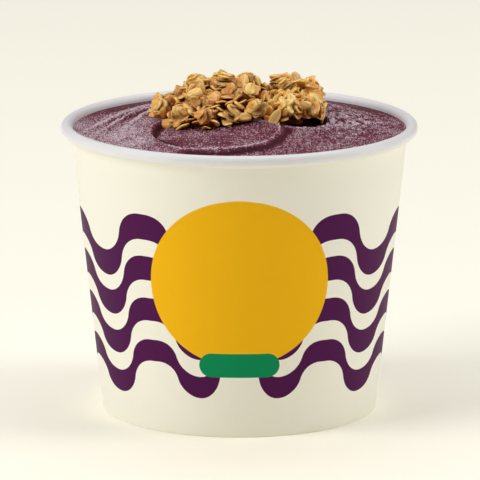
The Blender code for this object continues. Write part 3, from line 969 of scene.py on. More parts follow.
def make_tub_base():
    """Base disc with its flange standing in the heel."""
    top = RECESS_DEPTH + BOARD
    foot = BOARD + CLEARANCE
    outer = wall_inside(top) - CLEARANCE
    corner = wall_inside(RECESS_DEPTH) - CLEARANCE - BOARD
    flange = wall_inside(foot) - CLEARANCE
    cut = BEND_CUT * BASE_BEND
    profile = (
        (POLE_RADIUS, top),
        (outer - BASE_BEND, top),
        (outer - cut, top - cut),
        (wall_inside(top - BASE_BEND) - CLEARANCE, top - BASE_BEND),
        (flange, foot),
        (flange - BOARD, foot),
        (corner, RECESS_DEPTH - BASE_BEND),
        (corner - cut, RECESS_DEPTH - cut),
        (corner - BASE_BEND, RECESS_DEPTH),
        (POLE_RADIUS, RECESS_DEPTH),
    )
    bm = turned(profile, circle_angles(TUB_STEPS), lambda angle, radius, z: 0.0)
    for face in bm.faces:
        face.material_index = 0
    bmesh.ops.remove_doubles(bm, verts=bm.verts, dist=10 * POLE_RADIUS)
    bmesh.ops.recalc_face_normals(bm, faces=bm.faces)
    obj = object_from("tub_base", bm, (board_material(),))
    obj.data.set_sharp_from_angle(angle=SHARP_FOLD)
    return obj


def new_geometry_tree(name, **inputs):
    """A Geometry Nodes tree: itself, its named inputs and its output."""
    tree = bpy.data.node_groups.new(name, "GeometryNodeTree")
    for label, kind in {"Geometry": "Geometry", **inputs}.items():
        tree.interface.new_socket(
            label.replace("_", " "), in_out="INPUT", socket_type="NodeSocket" + kind
        )
    tree.interface.new_socket("Geometry", in_out="OUTPUT", socket_type="NodeSocketGeometry")
    return tree, tree.nodes.new("NodeGroupInput").outputs, tree.nodes.new("NodeGroupOutput").inputs[0]


def named_value(tree, name, kind="FLOAT"):
    """Value that the mesh holds at each point."""
    node = add_node(tree, "GeometryNodeInputNamedAttribute", {"data_type": kind}, Name=name)
    return node.outputs["Attribute"]


def finish_tree(tree, instances, material, output):
    """Ends a tree in real geometry with its material."""
    real = add_node(tree, "GeometryNodeRealizeInstances", Geometry=instances)
    feed(tree, output, add_node(tree, "GeometryNodeSetMaterial", Geometry=real, Material=material))


def grow(obj, tree, values):
    """Runs a tree on an object with its named inputs set, and keeps the result as a plain mesh."""
    modifier = obj.modifiers.new("grow", "NODES")
    modifier.node_group = tree
    for item in tree.interface.items_tree:
        if item.in_out == "INPUT" and item.name in values:
            modifier[item.identifier] = values[item.name]
    return plain_mesh(obj)


def heel_tree():
    """Upright ribs that stand in a ring, leaning with the wall."""
    kinds = {"Count": "Int", "Radius": "Float", "Level": "Float", "Lean": "Float", "Rib_Size": "Vector"}
    tree, given, made = new_geometry_tree("Heel Ribs", **kinds, Material="Material")
    ring = add_node(tree, "GeometryNodeMeshCircle", Vertices=given["Count"], Radius=given["Radius"])
    level = add_node(tree, "ShaderNodeCombineXYZ", Z=given["Level"])
    raised = add_node(tree, "GeometryNodeTransform", Geometry=ring, Translation=level)
    rib = add_node(tree, "GeometryNodeMeshCube", Size=given["Rib Size"])
    index = Number(tree, tree.nodes.new("GeometryNodeInputIndex").outputs[0])
    facing = index * (2 * math.pi) / given["Count"]
    turn = add_node(tree, "ShaderNodeCombineXYZ", Y=given["Lean"], Z=facing)
    rotation = add_node(tree, "FunctionNodeEulerToRotation", Euler=turn)
    parts = {"Points": raised, "Instance": rib, "Rotation": rotation}
    finish_tree(tree, add_node(tree, "GeometryNodeInstanceOnPoints", **parts), given["Material"], made)
    return tree


def make_heel_ribs():
    """Crimps at the middle of the heel's inner ply."""
    level = HEEL_HEIGHT / 2
    values = {
        "Count": looks().tub.ribs,
        "Radius": wall_inside(level) - SLOT_WIDTH - BOARD,
        "Level": level,
        "Lean": math.atan(WALL_SLOPE),
        "Rib Size": (RIB_DEPTH, RIB_WIDTH, RIB_HEIGHT),
        "Material": board_material(),
    }
    obj = linked_object("heel_ribs", bpy.data.meshes.new("heel_ribs"))
    return grow(obj, heel_tree(), values)


# Puree


def scoop_edge(x, y, scoop):
    """How far outside a scoop's edge a point lies."""
    (centre_x, centre_y), (half_x, half_y), _depth, _lip = scoop
    share = np.hypot((x - centre_x) / half_x, (y - centre_y) / half_y)
    return (share - 1) * (half_x + half_y) / 2


def scoop_relief(x, y, scoop):
    """A shallow hollow with a cliff inside its raised lip."""
    _centre, _half, depth, lip = scoop
    outwards = scoop_edge(x, y, scoop)
    hollow = -depth * (1 - smooth_step(-CLIFF_WIDTH, 0.0, outwards))
    return hollow + lip * bump(outwards - LIP_SHIFT, LIP_WIDTH)


def stroke_place(x, y):
    """Place along and across the spoon's strokes."""
    offset_x = x - STROKE_MIDDLE[0]
    offset_y = y - STROKE_MIDDLE[1]
    along = offset_x * STROKE_DIRECTION[0] + offset_y * STROKE_DIRECTION[1]
    across = offset_x * STROKE_DIRECTION[1] - offset_y * STROKE_DIRECTION[0]
    return along, across


def stroke_fade(x, y):
    along, across = stroke_place(x, y)
    return bump(along, STROKE_HALF_LENGTH) * bump(across, STROKE_SPREAD)


def stroke_ridge(x, y):
    """1 on the crest of a stroke and -1 in its trough. The strokes draw together backwards."""
    along, across = stroke_place(x, y)
    spread = 1 + STROKE_SPLAY * along
    return 2 * sum(bump(across / spread - place, width) for place, width in STROKE_RIDGES) - 1


def lump_share(x, y):
    """1 in the middle of the broken lumps, 0 far from them."""
    return bump(np.hypot(x - LUMP_MIDDLE[0], LUMP_NARROWING * (y - LUMP_MIDDLE[1])), LUMP_REACH)


def rising(least, share):
    """From the least value to 1, as the share goes from 0 to 1."""
    return least + (1 - least) * share


def dish_edge(x, y):
    """How far outside the front dish's edge a point lies: an oval, cut off behind by a curve."""
    beside = x - LOBE_TIP[0]
    behind = y - LOBE_TIP[1] + np.where(beside > 0, LOBE_CURVE * beside**2, LOBE_LEAN * beside)
    return np.maximum(scoop_edge(x, y, FRONT_SCOOP), behind * LOBE_SLOPE)


def dish_sharpness(x, y):
    """How sharp the dish's lip is: most in front and behind, least at the right."""
    (front_x, front_y), reach = SHARP_FRONT
    front = bump(np.hypot(x - front_x, (y - front_y) * SHARP_FRONT_DEPTH), reach)
    (behind_x, behind_y), reach = SHARP_BEHIND
    behind = bump(np.hypot(x - behind_x, y - behind_y), reach)
    left = smooth_step(*BLUNT_LEFT[0], x) * smooth_step(*BLUNT_LEFT[1], y)
    return rising(LEAST_SHARP, np.maximum(front, behind)) * (1 - BLUNT_LEFT_LOSS * left)


def dish_relief(x, y):
    """Spoon's dish: deep under a cliff at the left, and climbing to a sharp lip at the front and right."""
    _centre, _half, depth, lip = FRONT_SCOOP
    outwards = dish_edge(x, y)
    climb = smooth_step(*LOBE_CLIMB, y) * smooth_step(*LOBE_SIDES, x)
    filled = np.maximum(climb, smooth_step(*DISH_FRONT, y))
    deep = depth * (1 - DISH_FILLING * filled)
    hollow = -deep * (1 - smooth_step(-DISH_CLIFF, 0.0, outwards))
    wide = np.where(outwards < 0, DISH_LIP_INSIDE, DISH_LIP_OUTSIDE)
    height = lip * rising(LOWEST_LIP, filled) * rising(BLUNTEST_LIP, dish_sharpness(x, y))
    return hollow + height * bump(outwards, wide)


def calm(x, y):
    """1 over most of the puree, 0 at the wall."""
    return 1 - smooth_step(*CALM_SHARES, np.hypot(x, y) / PUREE_RADIUS)


def puree_level(x, y):
    """Height of the puree's surface above the foot."""
    share = np.hypot(x, y) / PUREE_RADIUS
    level = EDGE_LEVEL + (DOME_LEVEL - EDGE_LEVEL) * (1 - smooth_step(*DOME_SHARES, share))
    relief = dish_relief(x, y) + scoop_relief(x, y, RIGHT_SCOOP) + scoop_relief(x, y, BACK_SCOOP)
    relief = relief + STROKE_HEIGHT * stroke_fade(x, y) * stroke_ridge(x, y)
    relief = relief + LUMP_HEIGHT * lump_share(x, y) * perlin(x, y, *LUMP_NOISE)
    relief = relief + WAVE_HEIGHT * perlin(x, y, *WAVE_NOISE)
    return level + relief * calm(x, y)


def frost_amount(x, y):
    """How much frost lies at a point: most on lips, crests and lumps, least in smooth hollows, where less
    frost also stands for painted shade outside the dish's lip, under its left cliff and under the heap's
    right side.
    """
    patches = perlin(x, y, *PATCH_NOISE)
    ragged = RAGGED_MEAN + RAGGEDNESS * perlin(x, y, *RAGGED_NOISE)
    crest = np.maximum(0.0, stroke_ridge(x, y)) ** 2 * (1 + CREST_PATCHINESS * perlin(x, y, *CREST_NOISE))
    left = smooth_step(*LEFT_OF_DISH, x)
    dish = dish_edge(x, y)
    right = scoop_edge(x, y, RIGHT_SCOOP)
    back = scoop_edge(x, y, BACK_SCOOP)
    amount = MEAN_FROST + PATCH_FROST * patches + GRAIN_FROST * perlin(x, y, *GRAIN_NOISE)
    amount += LEFT_FROST * smooth_step(*LEFT_FADE, x)
    amount += stroke_fade(x, y) * (CREST_FROST * crest - TROUGH_BARE)
    amount += lump_share(x, y) * (chunks(x, y, *CHUNK_NOISE) - CRACK_BARE)
    amount += DISH_LIP_FROST * dish_sharpness(x, y) * ragged * bump(dish - DISH_LIP_PLACE, DISH_LIP_WIDTH)
    amount -= DISH_BARE * (dish < 0)
    # Painted shade and bare puree on the outer slope of the dish's lip
    amount -= OUTSIDE_BARE_AND_SHADE * bump(dish - OUTSIDE_PLACE, OUTSIDE_WIDTH) * (1 - left)
    # Painted shadow and bare puree under the dish's left cliff
    amount -= UNDERCUT_BARE_AND_SHADE * bump(dish - UNDERCUT_PLACE, UNDERCUT_WIDTH) * left
    amount += RIGHT_LIP_FROST * ragged * bump(right - LIP_SHIFT, RIGHT_LIP_WIDTH)
    # Smooth bare puree and painted shadow in the hollow under the heap's right side
    amount -= RIGHT_BARE_AND_SHADE * (1 - smooth_step(*RIGHT_BARE_AND_SHADE_FADE, right))
    amount += BACK_LIP_FROST * ragged * bump(back - LIP_SHIFT, BACK_LIP_WIDTH) - BACK_BARE * (back < 0)
    at_edge = smooth_step(*EDGE_SHARES, np.hypot(x, y) / PUREE_RADIUS + EDGE_WAVINESS * patches)
    bare = rising(NEAR_EDGE_LOSS, smooth_step(*FAR_SHARES, y / PUREE_RADIUS)) * at_edge
    return np.clip(amount + bare * (EDGE_FROST - amount), 0.0, 1.0)


def frost_relief(x, y, frost):
    """Crumbly relief of the frost, finer than the solid's own marks."""
    relief = sum(height * frost * perlin(x, y, *crumbs) for height, crumbs in FROST_CRUMBS)
    relief += CHUNK_HEIGHT * lump_share(x, y) * (chunks(x, y, *CHUNK_NOISE) - 0.5)
    crest = CREST_HEIGHT * np.maximum(0.0, stroke_ridge(x, y)) ** 3
    relief += stroke_fade(x, y) * (crest + CREST_ROUGHNESS * perlin(x, y, *CREST_NOISE))
    relief += LIP_ROUGHNESS * perlin(x, y, *LIP_NOISE) * bump(dish_edge(x, y), LIP_ROUGH_WIDTH)
    return relief * calm(x, y)


def disc_grid(side):
    """Points of the unit disc, one for each point of a square grid, evenly spread."""
    steps = np.linspace(-1.0, 1.0, side + 1)
    u, v = np.meshgrid(steps, steps)
    wide = np.abs(u) >= np.abs(v)
    radius = np.where(wide, u, v)
    safe_u = np.where(u == 0, 1.0, u)
    safe_v = np.where(v == 0, 1.0, v)
    angle = np.where(wide, math.pi / 4 * v / safe_u, math.pi / 2 - math.pi / 4 * u / safe_v)
    return radius * np.cos(angle), radius * np.sin(angle)


def grid_faces(side):
    """Corners of a square grid's faces, row by row."""
    row = side + 1
    corners = [line * row + column for line in range(side) for column in range(side)]
    return [(corner, corner + 1, corner + row + 1, corner + row) for corner in corners]


def grid_border(side):
    """Indices of a square grid's border, in order round it."""
    row = side + 1
    bottom = list(range(side))
    right = [side + row * step for step in range(side)]
    top = [row * side + side - step for step in range(side)]
    left = [row * (side - step) for step in range(side)]
    return bottom + right + top + left


def make_puree():
    """Puree from the base disc up to its frosted surface, as one closed mesh."""
    radius = PUREE_RADIUS + WALL_OVERLAP
    x, y = [part.ravel() * radius for part in disc_grid(PUREE_SIDE)]
    frost = frost_amount(x, y)
    verts = list(zip(x, y, puree_level(x, y) + frost_relief(x, y, frost)))
    faces = grid_faces(PUREE_SIDE)
    border = grid_border(PUREE_SIDE)
    foot = RECESS_DEPTH + BOARD + CLEARANCE
    shrink = (wall_inside(foot) - CLEARANCE) / radius
    below = [len(verts) + step for step in range(len(border))]
    middle = below[-1] + 1
    verts += [(x[index] * shrink, y[index] * shrink, foot) for index in border]
    verts.append((0.0, 0.0, foot))
    after = below[1:] + below[:1]
    faces += list(zip(below, after, border[1:] + border[:1], border))
    faces += [(middle, second, first) for first, second in zip(below, after)]
    mesh = bpy.data.meshes.new("puree")
    mesh.from_pydata(verts, [], faces)
    add_values(mesh, "frost", list(frost) + [HIDDEN_FROST] * (len(border) + 1))
    mesh.shade_smooth()
    mesh.set_sharp_from_angle(angle=PUREE_FOLD)
    mesh.materials.append(puree_material())
    return linked_object("puree", mesh)


SHARD_SIDES = 3
SHARD_RADIUS = 0.62
SHARD_HEIGHT = 1.1
SHARD_SINK = 0.4
FROST_POWER = 1.8
TOP_MARGIN = 1.0 * MM
TONE_SEED = 5


def shard(tree):
    """A three-sided spike about one unit high, sunk into what it stands on."""
    shape = {"Vertices": SHARD_SIDES, "Radius_Bottom": SHARD_RADIUS, "Depth": SHARD_HEIGHT}
    spike = add_node(tree, "GeometryNodeMeshCone", **shape)
    return add_node(tree, "GeometryNodeTransform", Geometry=spike, Translation=(0, 0, -SHARD_SINK))


def random_number(tree, low=0.0, high=1.0, seed=0):
    """A number between two limits for each point."""
    node = add_node(tree, "FunctionNodeRandomValue", Seed=seed)
    feed(tree, node.inputs[2], low)
    feed(tree, node.inputs[3], high)
    return node.outputs[1]


def random_turn(tree):
    node = add_node(tree, "FunctionNodeRandomValue", {"data_type": "FLOAT_VECTOR"})
    feed(tree, node.inputs[1], (2 * math.pi,) * 3)
    return add_node(tree, "FunctionNodeEulerToRotation", Euler=node)


def crystal_tree():
    """Small sharp crystals scattered over a mesh, closer together where its frost is thicker."""
    kinds = {"Density": "Float", "Smallest": "Float", "Largest": "Float", "Seed": "Int"}
    tree, given, made = new_geometry_tree("Frost Crystals", **kinds, Material="Material")
    frost = Number(tree, named_value(tree, "frost"))
    place = tree.nodes.new("GeometryNodeInputPosition").outputs[0]
    level = Number(tree, add_node(tree, "ShaderNodeSeparateXYZ", Vector=place).outputs["Z"])
    on_top = level > EDGE_LEVEL - TOP_MARGIN
    wanted = (frost**FROST_POWER) * on_top * given["Density"]
    parts = {"Mesh": given["Geometry"], "Density": wanted, "Seed": given["Seed"]}
    points = add_node(tree, "GeometryNodeDistributePointsOnFaces", **parts)
    size = random_number(tree, given["Smallest"], given["Largest"])
    parts = {"Points": points, "Instance": shard(tree), "Rotation": random_turn(tree), "Scale": size}
    copies = add_node(tree, "GeometryNodeInstanceOnPoints", **parts)
    settings = {"data_type": "FLOAT", "domain": "INSTANCE"}
    parts = {"Geometry": copies, "Name": "tone", "Value": random_number(tree, seed=TONE_SEED)}
    toned = add_node(tree, "GeometryNodeStoreNamedAttribute", settings, **parts)
    finish_tree(tree, toned, given["Material"], made)
    return tree


def make_crystals(puree):
    look = looks().puree
    obj = linked_object("frost_crystals", puree.data.copy())
    values = {
        "Density": look.density,
        "Smallest": look.smallest,
        "Largest": look.largest,
        "Seed": look.seed,
        "Material": crystal_material(),
    }
    return grow(obj, crystal_tree(), values)


# Granola


def heap_share(x, y):
    """0 in the middle of the heap's plan, 1 at its edge."""
    along = abs(x - HEAP_CENTRE.x) / HEAP_HALF_LENGTH
    across = abs(y - HEAP_CENTRE.y) / HEAP_HALF_DEPTH
    return (along**HEAP_SQUARENESS + across**HEAP_SQUARENESS) ** (1 / HEAP_SQUARENESS)


def heap_height(x, y):
    """Height of the heap over the puree: a steep-sided mound with a dip right of its middle."""
    dip = DIP_DEPTH * bump(x - DIP_X, DIP_WIDTH)
    return max(0.0, (HEAP_HEIGHT - dip) * (1 - heap_share(x, y) ** HEAP_STEEPNESS))


def plan_point(share, angle):
    """Point of the heap's plan at a share of the way to its edge."""
    power = 2 / HEAP_SQUARENESS
    along = math.copysign(abs(math.cos(angle)) ** power, math.cos(angle))
    across = math.copysign(abs(math.sin(angle)) ** power, math.sin(angle))
    return HEAP_CENTRE + share * Vector((along * HEAP_HALF_LENGTH, across * HEAP_HALF_DEPTH))


def even_points(share, spacing):
    """Points spread evenly round the heap's plan."""
    outline = [plan_point(share, angle) for angle in circle_angles(OUTLINE_STEPS)]
    steps = [(b - a).length for a, b in zip(outline, outline[1:] + outline[:1])]
    count = max(1, round(sum(steps) / spacing))
    gap = sum(steps) / count
    points = []
    travelled = 0.0
    for point, step in zip(outline, steps):
        if travelled >= gap * len(points):
            points.append(point)
        travelled += step
    return points


def on_puree(x, y, rise):
    """Point at a height over the puree's surface."""
    return Vector((x, y, float(puree_level(x, y)) + rise))


def settled(x, y, rise):
    """Place across and height, set back at the front right and raised all over the right."""
    right = float(smooth_step(*RIGHT_START, x))
    front = float(smooth_step(*FRONT_START, y))
    return y + FRONT_SET_BACK * right * front, rise + (RIGHT_RAISE + FRONT_RAISE * front) * right


def on_crest(x, y, rise):
    """Place across and height of a cluster, pushed off the notch in the heap's crest."""
    behind = float(smooth_step(*CREST_START, y))
    push = math.copysign(NOTCH_PUSH, x - NOTCH_X) * float(bump(x - NOTCH_X, NOTCH_REACH))
    raised = float(np.interp(x / MM, CREST_PLACES, CREST_RAISES)) * MM
    return x + behind * push, rise + behind * raised


def cluster_sites():
    """(centre, axis, is a stack) for each cluster, in rings from the heap's edge to its middle."""
    draw = random.Random(HEAP_SEED)
    sites = []
    for share in CLUSTER_RING_SHARES:
        for point in even_points(share, CLUSTER_SPACING):
            x = point.x + draw.uniform(-CLUSTER_SHIFT, CLUSTER_SHIFT)
            y = point.y + draw.uniform(-CLUSTER_SHIFT, CLUSTER_SHIFT)
            axis = Vector([draw.uniform(*limits) for limits in AXIS_LIMITS]).normalized()
            stack = draw.random() < STACK_SHARE
            lift = draw.uniform(-CLUSTER_LIFT, CLUSTER_LIFT)
            rise = max(LOWEST_RISE, heap_height(x, y) - CLUSTER_RADIUS + lift)
            y, rise = settled(x, y, rise)
            x, rise = on_crest(x, y, rise)
            sites.append((on_puree(x, y, rise), axis, stack))
    return sites


def random_offset(draw):
    return Vector((draw.uniform(-1, 1), draw.uniform(-1, 1), draw.uniform(-1, 1)))


class Scatter:
    """Points for one kind of small piece, each with a turn, a size, a variant and a tone."""

    def __init__(self, draw, variants):
        self.draw = draw
        self.variants = variants
        self.rows = []

    def add(self, middle, facing, length, tone):
        spin = Matrix.Rotation(self.draw.uniform(0, 2 * math.pi), 4, "Z")
        tilt = facing.to_track_quat("Z", "Y").to_matrix().to_4x4()
        turn = Vector((tilt @ spin).to_euler())
        kind = self.draw.randrange(self.variants)
        self.rows.append((middle, turn, length, kind, min(1.0, max(0.0, tone))))

    def mesh(self, name):
        places, turns, sizes, kinds, tones = zip(*self.rows)
        points = bpy.data.meshes.new(name)
        points.from_pydata(places, [], [])
        add_values(points, "turn", turns, "FLOAT_VECTOR")
        add_values(points, "size", sizes)
        add_values(points, "tone", tones)
        add_values(points, "kind", kinds, "INT")
        return points


def uneven_tone(draw, middle, spread):
    return middle + draw.uniform(-spread, spread)


def scatter_rosette(flakes, centre, look):
    """Flakes lying every way round a cluster, more or less flat on it, and painted paler on its top and
    darker low on its sides, as painted light.
    """
    draw = flakes.draw
    start = draw.uniform(0, 2 * math.pi)
    cluster_tone = draw.uniform(*ROSETTE_TONES)
    high, low = ROSETTE_HEIGHTS
    for index in range(look.rosette):
        height = high + (low - high) * (index + 0.5) / look.rosette
        level = math.sqrt(1 - height * height)
        angle = start + GOLDEN_ANGLE * index
        outwards = Vector((level * math.cos(angle), level * math.sin(angle), height))
        facing = (outwards + ROSETTE_TILT * random_offset(draw)).normalized()
        middle = centre + outwards * CLUSTER_RADIUS * draw.uniform(*ROSETTE_REACH)
        length = look.flake * draw.uniform(*LENGTH_SPREAD)
        # Painted light: flakes high on the cluster get a paler tone and low ones a darker tone
        tone = uneven_tone(draw, cluster_tone - TOP_PAINTED_LIGHT * height, ROSETTE_TONE_SPREAD)
        flakes.add(middle, facing, length, tone)


def scatter_stack(flakes, centre, axis, look):
    """Flakes lying one on the next like pages."""
    draw = flakes.draw
    cluster_tone = draw.uniform(*STACK_TONES)
    for index in range(look.pages):
        share = 1 - 2 * (index + 0.5) / look.pages
        offset = random_offset(draw)
        facing = (axis + PAGE_TILT * offset).normalized()
        middle = centre + (PAGE_REACH * share * axis + PAGE_SHIFT * offset) * CLUSTER_RADIUS
        length = look.page * draw.uniform(*LENGTH_SPREAD) * (1 - PAGE_TAPER * share * share)
        flakes.add(middle, facing, length, uneven_tone(draw, cluster_tone, STACK_TONE_SPREAD))


def scatter_cover(flakes, look):
    """Loose flakes in the gaps between the clusters, lying every way."""
    draw = flakes.draw
    for index in range(look.cover):
        share = COVER_REACH * math.sqrt((index + 0.5) / look.cover)
        point = plan_point(share, GOLDEN_ANGLE * index)
        rise = COVER_FILL * heap_height(point.x, point.y) + draw.uniform(*COVER_LIFTS)
        y, rise = settled(point.x, point.y, max(COVER_LOWEST, rise))
        facing = (Vector((0, 0, 1)) + COVER_TILT * random_offset(draw)).normalized()
        length = look.flake * draw.uniform(*LENGTH_SPREAD)
        flakes.add(on_puree(point.x, y, rise), facing, length, draw.uniform(*COVER_TONES))


def oval_mesh(name, draw, width, thickness, bow, ragged, crease):
    """A closed oval one unit long, with two faces that meet at its uneven edge."""
    lean = draw.uniform(*OVAL_LEANS)
    twist = draw.uniform(*OVAL_TWISTS)
    ripple = draw.uniform(*OVAL_RIPPLES)
    phase = draw.uniform(0, 2 * math.pi)
    arch = draw.uniform(*OVAL_ARCHES)
    outline = [1 + ragged * draw.uniform(-1, 1) for _corner in range(OVAL_CORNERS)]
    verts = []
    own = []
    rim = []

    def add(x, y, offset, share):
        sag = -bow * y * y / width - arch * x * x * 0.5 + twist * x * y
        sag += ripple * math.sin(OVAL_RIPPLES_ROUND * math.atan2(y, x) + phase) * (4 * x * x + 4 * y * y)
        groove = crease * math.exp(-((y / OVAL_GROOVE) ** 2)) * max(0.0, 1 - 2 * abs(x))
        verts.append((x, y, sag + offset - (groove if offset > 0 else 0.0)))
        own.append((x, y, offset))
        rim.append(share)
        return len(verts) - 1

    def loop(ring, offset):
        made = []
        for stretch, angle in zip(outline, circle_angles(OVAL_CORNERS)):
            reach = 0.5 * ring * (1 + (stretch - 1) * ring)
            taper = width * (1 - lean * math.cos(angle))
            made.append(add(reach * math.cos(angle), reach * taper * math.sin(angle), offset, ring**3))
        return made

    sides = []
    for side in (thickness / 2, -thickness / 2):
        middle = add(0.0, 0.0, side, 0.0)
        sides.append((middle, [loop(ring, side * (1 - OVAL_THINNING * ring**4)) for ring in OVAL_RINGS]))
    edge = loop(1.0, 0.0)
    faces = []
    for (middle, loops), flip in zip(sides, (False, True)):
        for index in range(OVAL_CORNERS):
            after = (index + 1) % OVAL_CORNERS
            strips = [(middle, loops[0][index], loops[0][after])]
            for inner, outer in zip(loops, loops[1:] + [edge]):
                strips.append((inner[index], outer[index], outer[after], inner[after]))
            faces += [tuple(reversed(face)) if flip else face for face in strips]
    mesh = bpy.data.meshes.new(name)
    mesh.from_pydata(verts, [], faces)
    add_values(mesh, "own", own, "FLOAT_VECTOR")
    add_values(mesh, "rim", rim)
    mesh.shade_smooth()
    mesh.set_sharp_from_angle(angle=OVAL_FOLD)
    return mesh


def drawn_size(draw, size):
    """A size drawn between two limits, or the one that is given."""
    return draw.uniform(*size) if isinstance(size, tuple) else size


def oval_variants(name, draw, count, shape):
    """Ovals of one kind, each with sizes of its own."""
    made = []
    for number in range(count):
        sizes = {part: drawn_size(draw, size) for part, size in shape.items()}
        made.append(oval_mesh(f"{name}_{number:02d}", draw, **sizes))
    return made


def scatter_tree():
    """Puts the variants of a piece on points, by each point's turn, size and kind."""
    tree, given, made = new_geometry_tree("Scattered Pieces", Variants="Collection", Material="Material")
    parts = {"Collection": given["Variants"], "Separate_Children": True, "Reset_Children": True}
    variants = add_node(tree, "GeometryNodeCollectionInfo", **parts)
    turn = named_value(tree, "turn", "FLOAT_VECTOR")
    parts = {
        "Points": given["Geometry"],
        "Instance": variants,
        "Pick_Instance": True,
        "Instance_Index": named_value(tree, "kind", "INT"),
        "Rotation": add_node(tree, "FunctionNodeEulerToRotation", Euler=turn),
        "Scale": named_value(tree, "size"),
    }
    finish_tree(tree, add_node(tree, "GeometryNodeInstanceOnPoints", **parts), given["Material"], made)
    return tree


def shade_depth_in_heap(mesh):
    """How deep each point of a mesh lies inside a cluster or between them, from 0 to 1. The oats' material
    paints shade by it: painted shade in the heap's crevices.
    """
    places = np.empty(len(mesh.vertices) * 3, dtype=np.float32)
    mesh.vertices.foreach_get("co", places)
    places = places.reshape(-1, 3)
    centres = np.array([centre for centre, _axis, _stack in cluster_sites()])
    away = np.linalg.norm(places[:, None] - centres, axis=2).min(axis=1) / CLUSTER_RADIUS
    in_cluster = 1 - smooth_step(*CREVICE_SHADE_SHARES, away)
    x, y, z = places.T
    heights = np.vectorize(heap_height)(x, y)
    between = 1 - smooth_step(*CREVICE_SHADE_LEVELS, (z - puree_level(x, y)) / np.maximum(heights, MM))
    return np.maximum(in_cluster, between * (heights > CREVICE_SHADE_HEIGHT))


def scatter_pieces(name, scatter, meshes, material):
    """Makes one mesh of all the pieces on a scatter's points."""
    shelf = bpy.data.collections.new(name + "_variants")
    for mesh in meshes:
        shelf.objects.link(bpy.data.objects.new(mesh.name, mesh))
    obj = linked_object(name, scatter.mesh(name))
    grow(obj, scatter_tree(), {"Variants": shelf, "Material": material})
    # Depth in the heap, painted as shade by the oats' material
    add_values(obj.data, "deep", shade_depth_in_heap(obj.data))
    for variant in list(shelf.objects):
        bpy.data.objects.remove(variant, do_unlink=True)
    bpy.data.collections.remove(shelf)
    return obj


def make_flakes():
    """Flakes of every cluster, and the loose ones between them."""
    look = looks().granola
    draw = random.Random(look.seed)
    flakes = Scatter(draw, FLAKE_VARIANTS)
    for centre, axis, stack in cluster_sites():
        if stack:
            scatter_stack(flakes, centre, axis, look)
        else:
            scatter_rosette(flakes, centre, look)
    scatter_cover(flakes, look)
    material = oat_material("oat_flakes", look.golden, streaks=(2.2, 9.0, 4.0))
    meshes = oval_variants("flake", draw, FLAKE_VARIANTS, FLAKE_SHAPE)
    return scatter_pieces("oat_flakes", flakes, meshes, material)


def make_kernels():
    """Whole kernels at the front, and crumbs in the gaps of every cluster."""
    look = looks().granola
    draw = random.Random(look.seed + 1)
    kernels = Scatter(draw, KERNEL_VARIANTS)
    for place, rise, facing, length in KERNELS:
        kernels.add(on_puree(*place, rise), Vector(facing).normalized(), length, KERNEL_TONE)
    for centre, _axis, _stack in cluster_sites():
        for _crumb in range(CRUMBS_PER_CLUSTER):
            outwards = random_offset(draw).normalized()
            outwards.z = abs(outwards.z)
            middle = centre + outwards * CLUSTER_RADIUS * draw.uniform(*CRUMB_REACH)
            if middle.z > puree_level(middle.x, middle.y) + CRUMB_LOWEST:
                facing = random_offset(draw).normalized()
                kernels.add(middle, facing, draw.uniform(*CRUMB_LENGTHS), CRUMB_TONE)
    material = oat_material("oat_kernels", look.golden, streaks=(2.0, 9.0, 5.0))
    meshes = oval_variants("kernel", draw, KERNEL_VARIANTS, KERNEL_SHAPE)
    return scatter_pieces("oat_kernels", kernels, meshes, material)


def core_level(point, share):
    """Height of the toasted layer under the flakes, rough like baked crumb."""
    edge = 1 - smooth_step(*CORE_EDGE_SHARES, share / CORE_REACH)
    edge = edge * (1 - smooth_step(*RIGHT_START, point.x) * smooth_step(*CORE_FRONT, point.y))
    rise = CORE_FILL * heap_height(point.x, point.y)
    for height, size, level in CORE_ROUGHNESS:
        rise += height * noise.noise(Vector((point.x, point.y, level)) / size)
    return float(puree_level(point.x, point.y)) + edge * rise - (1 - edge) * CORE_SINK


def make_core():
    """The heap's toasted layer, closed underneath."""
    bm = bmesh.new()
    angles = circle_angles(CORE_SEGMENTS)
    rings = []
    for number in range(1, CORE_RINGS + 1):
        share = CORE_REACH * number / CORE_RINGS
        points = [plan_point(share, angle) for angle in angles]
        points = [Vector((p.x, settled(p.x, p.y, 0.0)[0])) for p in points]
        rings.append([bm.verts.new((p.x, p.y, core_level(p, share))) for p in points])
    top = bm.verts.new((*HEAP_CENTRE, core_level(HEAP_CENTRE, 0.0)))
    floor = float(puree_level(*HEAP_CENTRE)) - CORE_DEPTH
    foot = [(v.co.x, v.co.y, min(floor, v.co.z - CORE_LEAST_DEPTH)) for v in rings[-1]]
    rings.append([bm.verts.new(place) for place in foot])
    middle = bm.verts.new((*HEAP_CENTRE, floor))
    for index in range(CORE_SEGMENTS):
        after = (index + 1) % CORE_SEGMENTS
        bm.faces.new((top, rings[0][index], rings[0][after]))
        bm.faces.new((middle, rings[-1][after], rings[-1][index]))
        for inner, outer in zip(rings, rings[1:]):
            bm.faces.new((inner[index], outer[index], outer[after], inner[after]))
    bmesh.ops.recalc_face_normals(bm, faces=bm.faces)
    return object_from("granola_core", bm, (crust_material(),))


# Stage


def add_softbox(name, azimuth, elevation, distance, size, power):
    """An area light that faces the tub; azimuth 0 is in front, 90 at the right."""
    data = bpy.data.lights.new(name, "AREA")
    data.shape = "RECTANGLE"
    data.size, data.size_y = size
    data.energy = power
    level = math.cos(elevation)
    away = Vector((math.sin(azimuth) * level, -math.cos(azimuth) * level, math.sin(elevation)))
    light = linked_object(name, data)
    light.location = CAMERA_AIM + away * distance
    light.rotation_euler = away.to_track_quat("Z", "Y").to_euler()
    return light


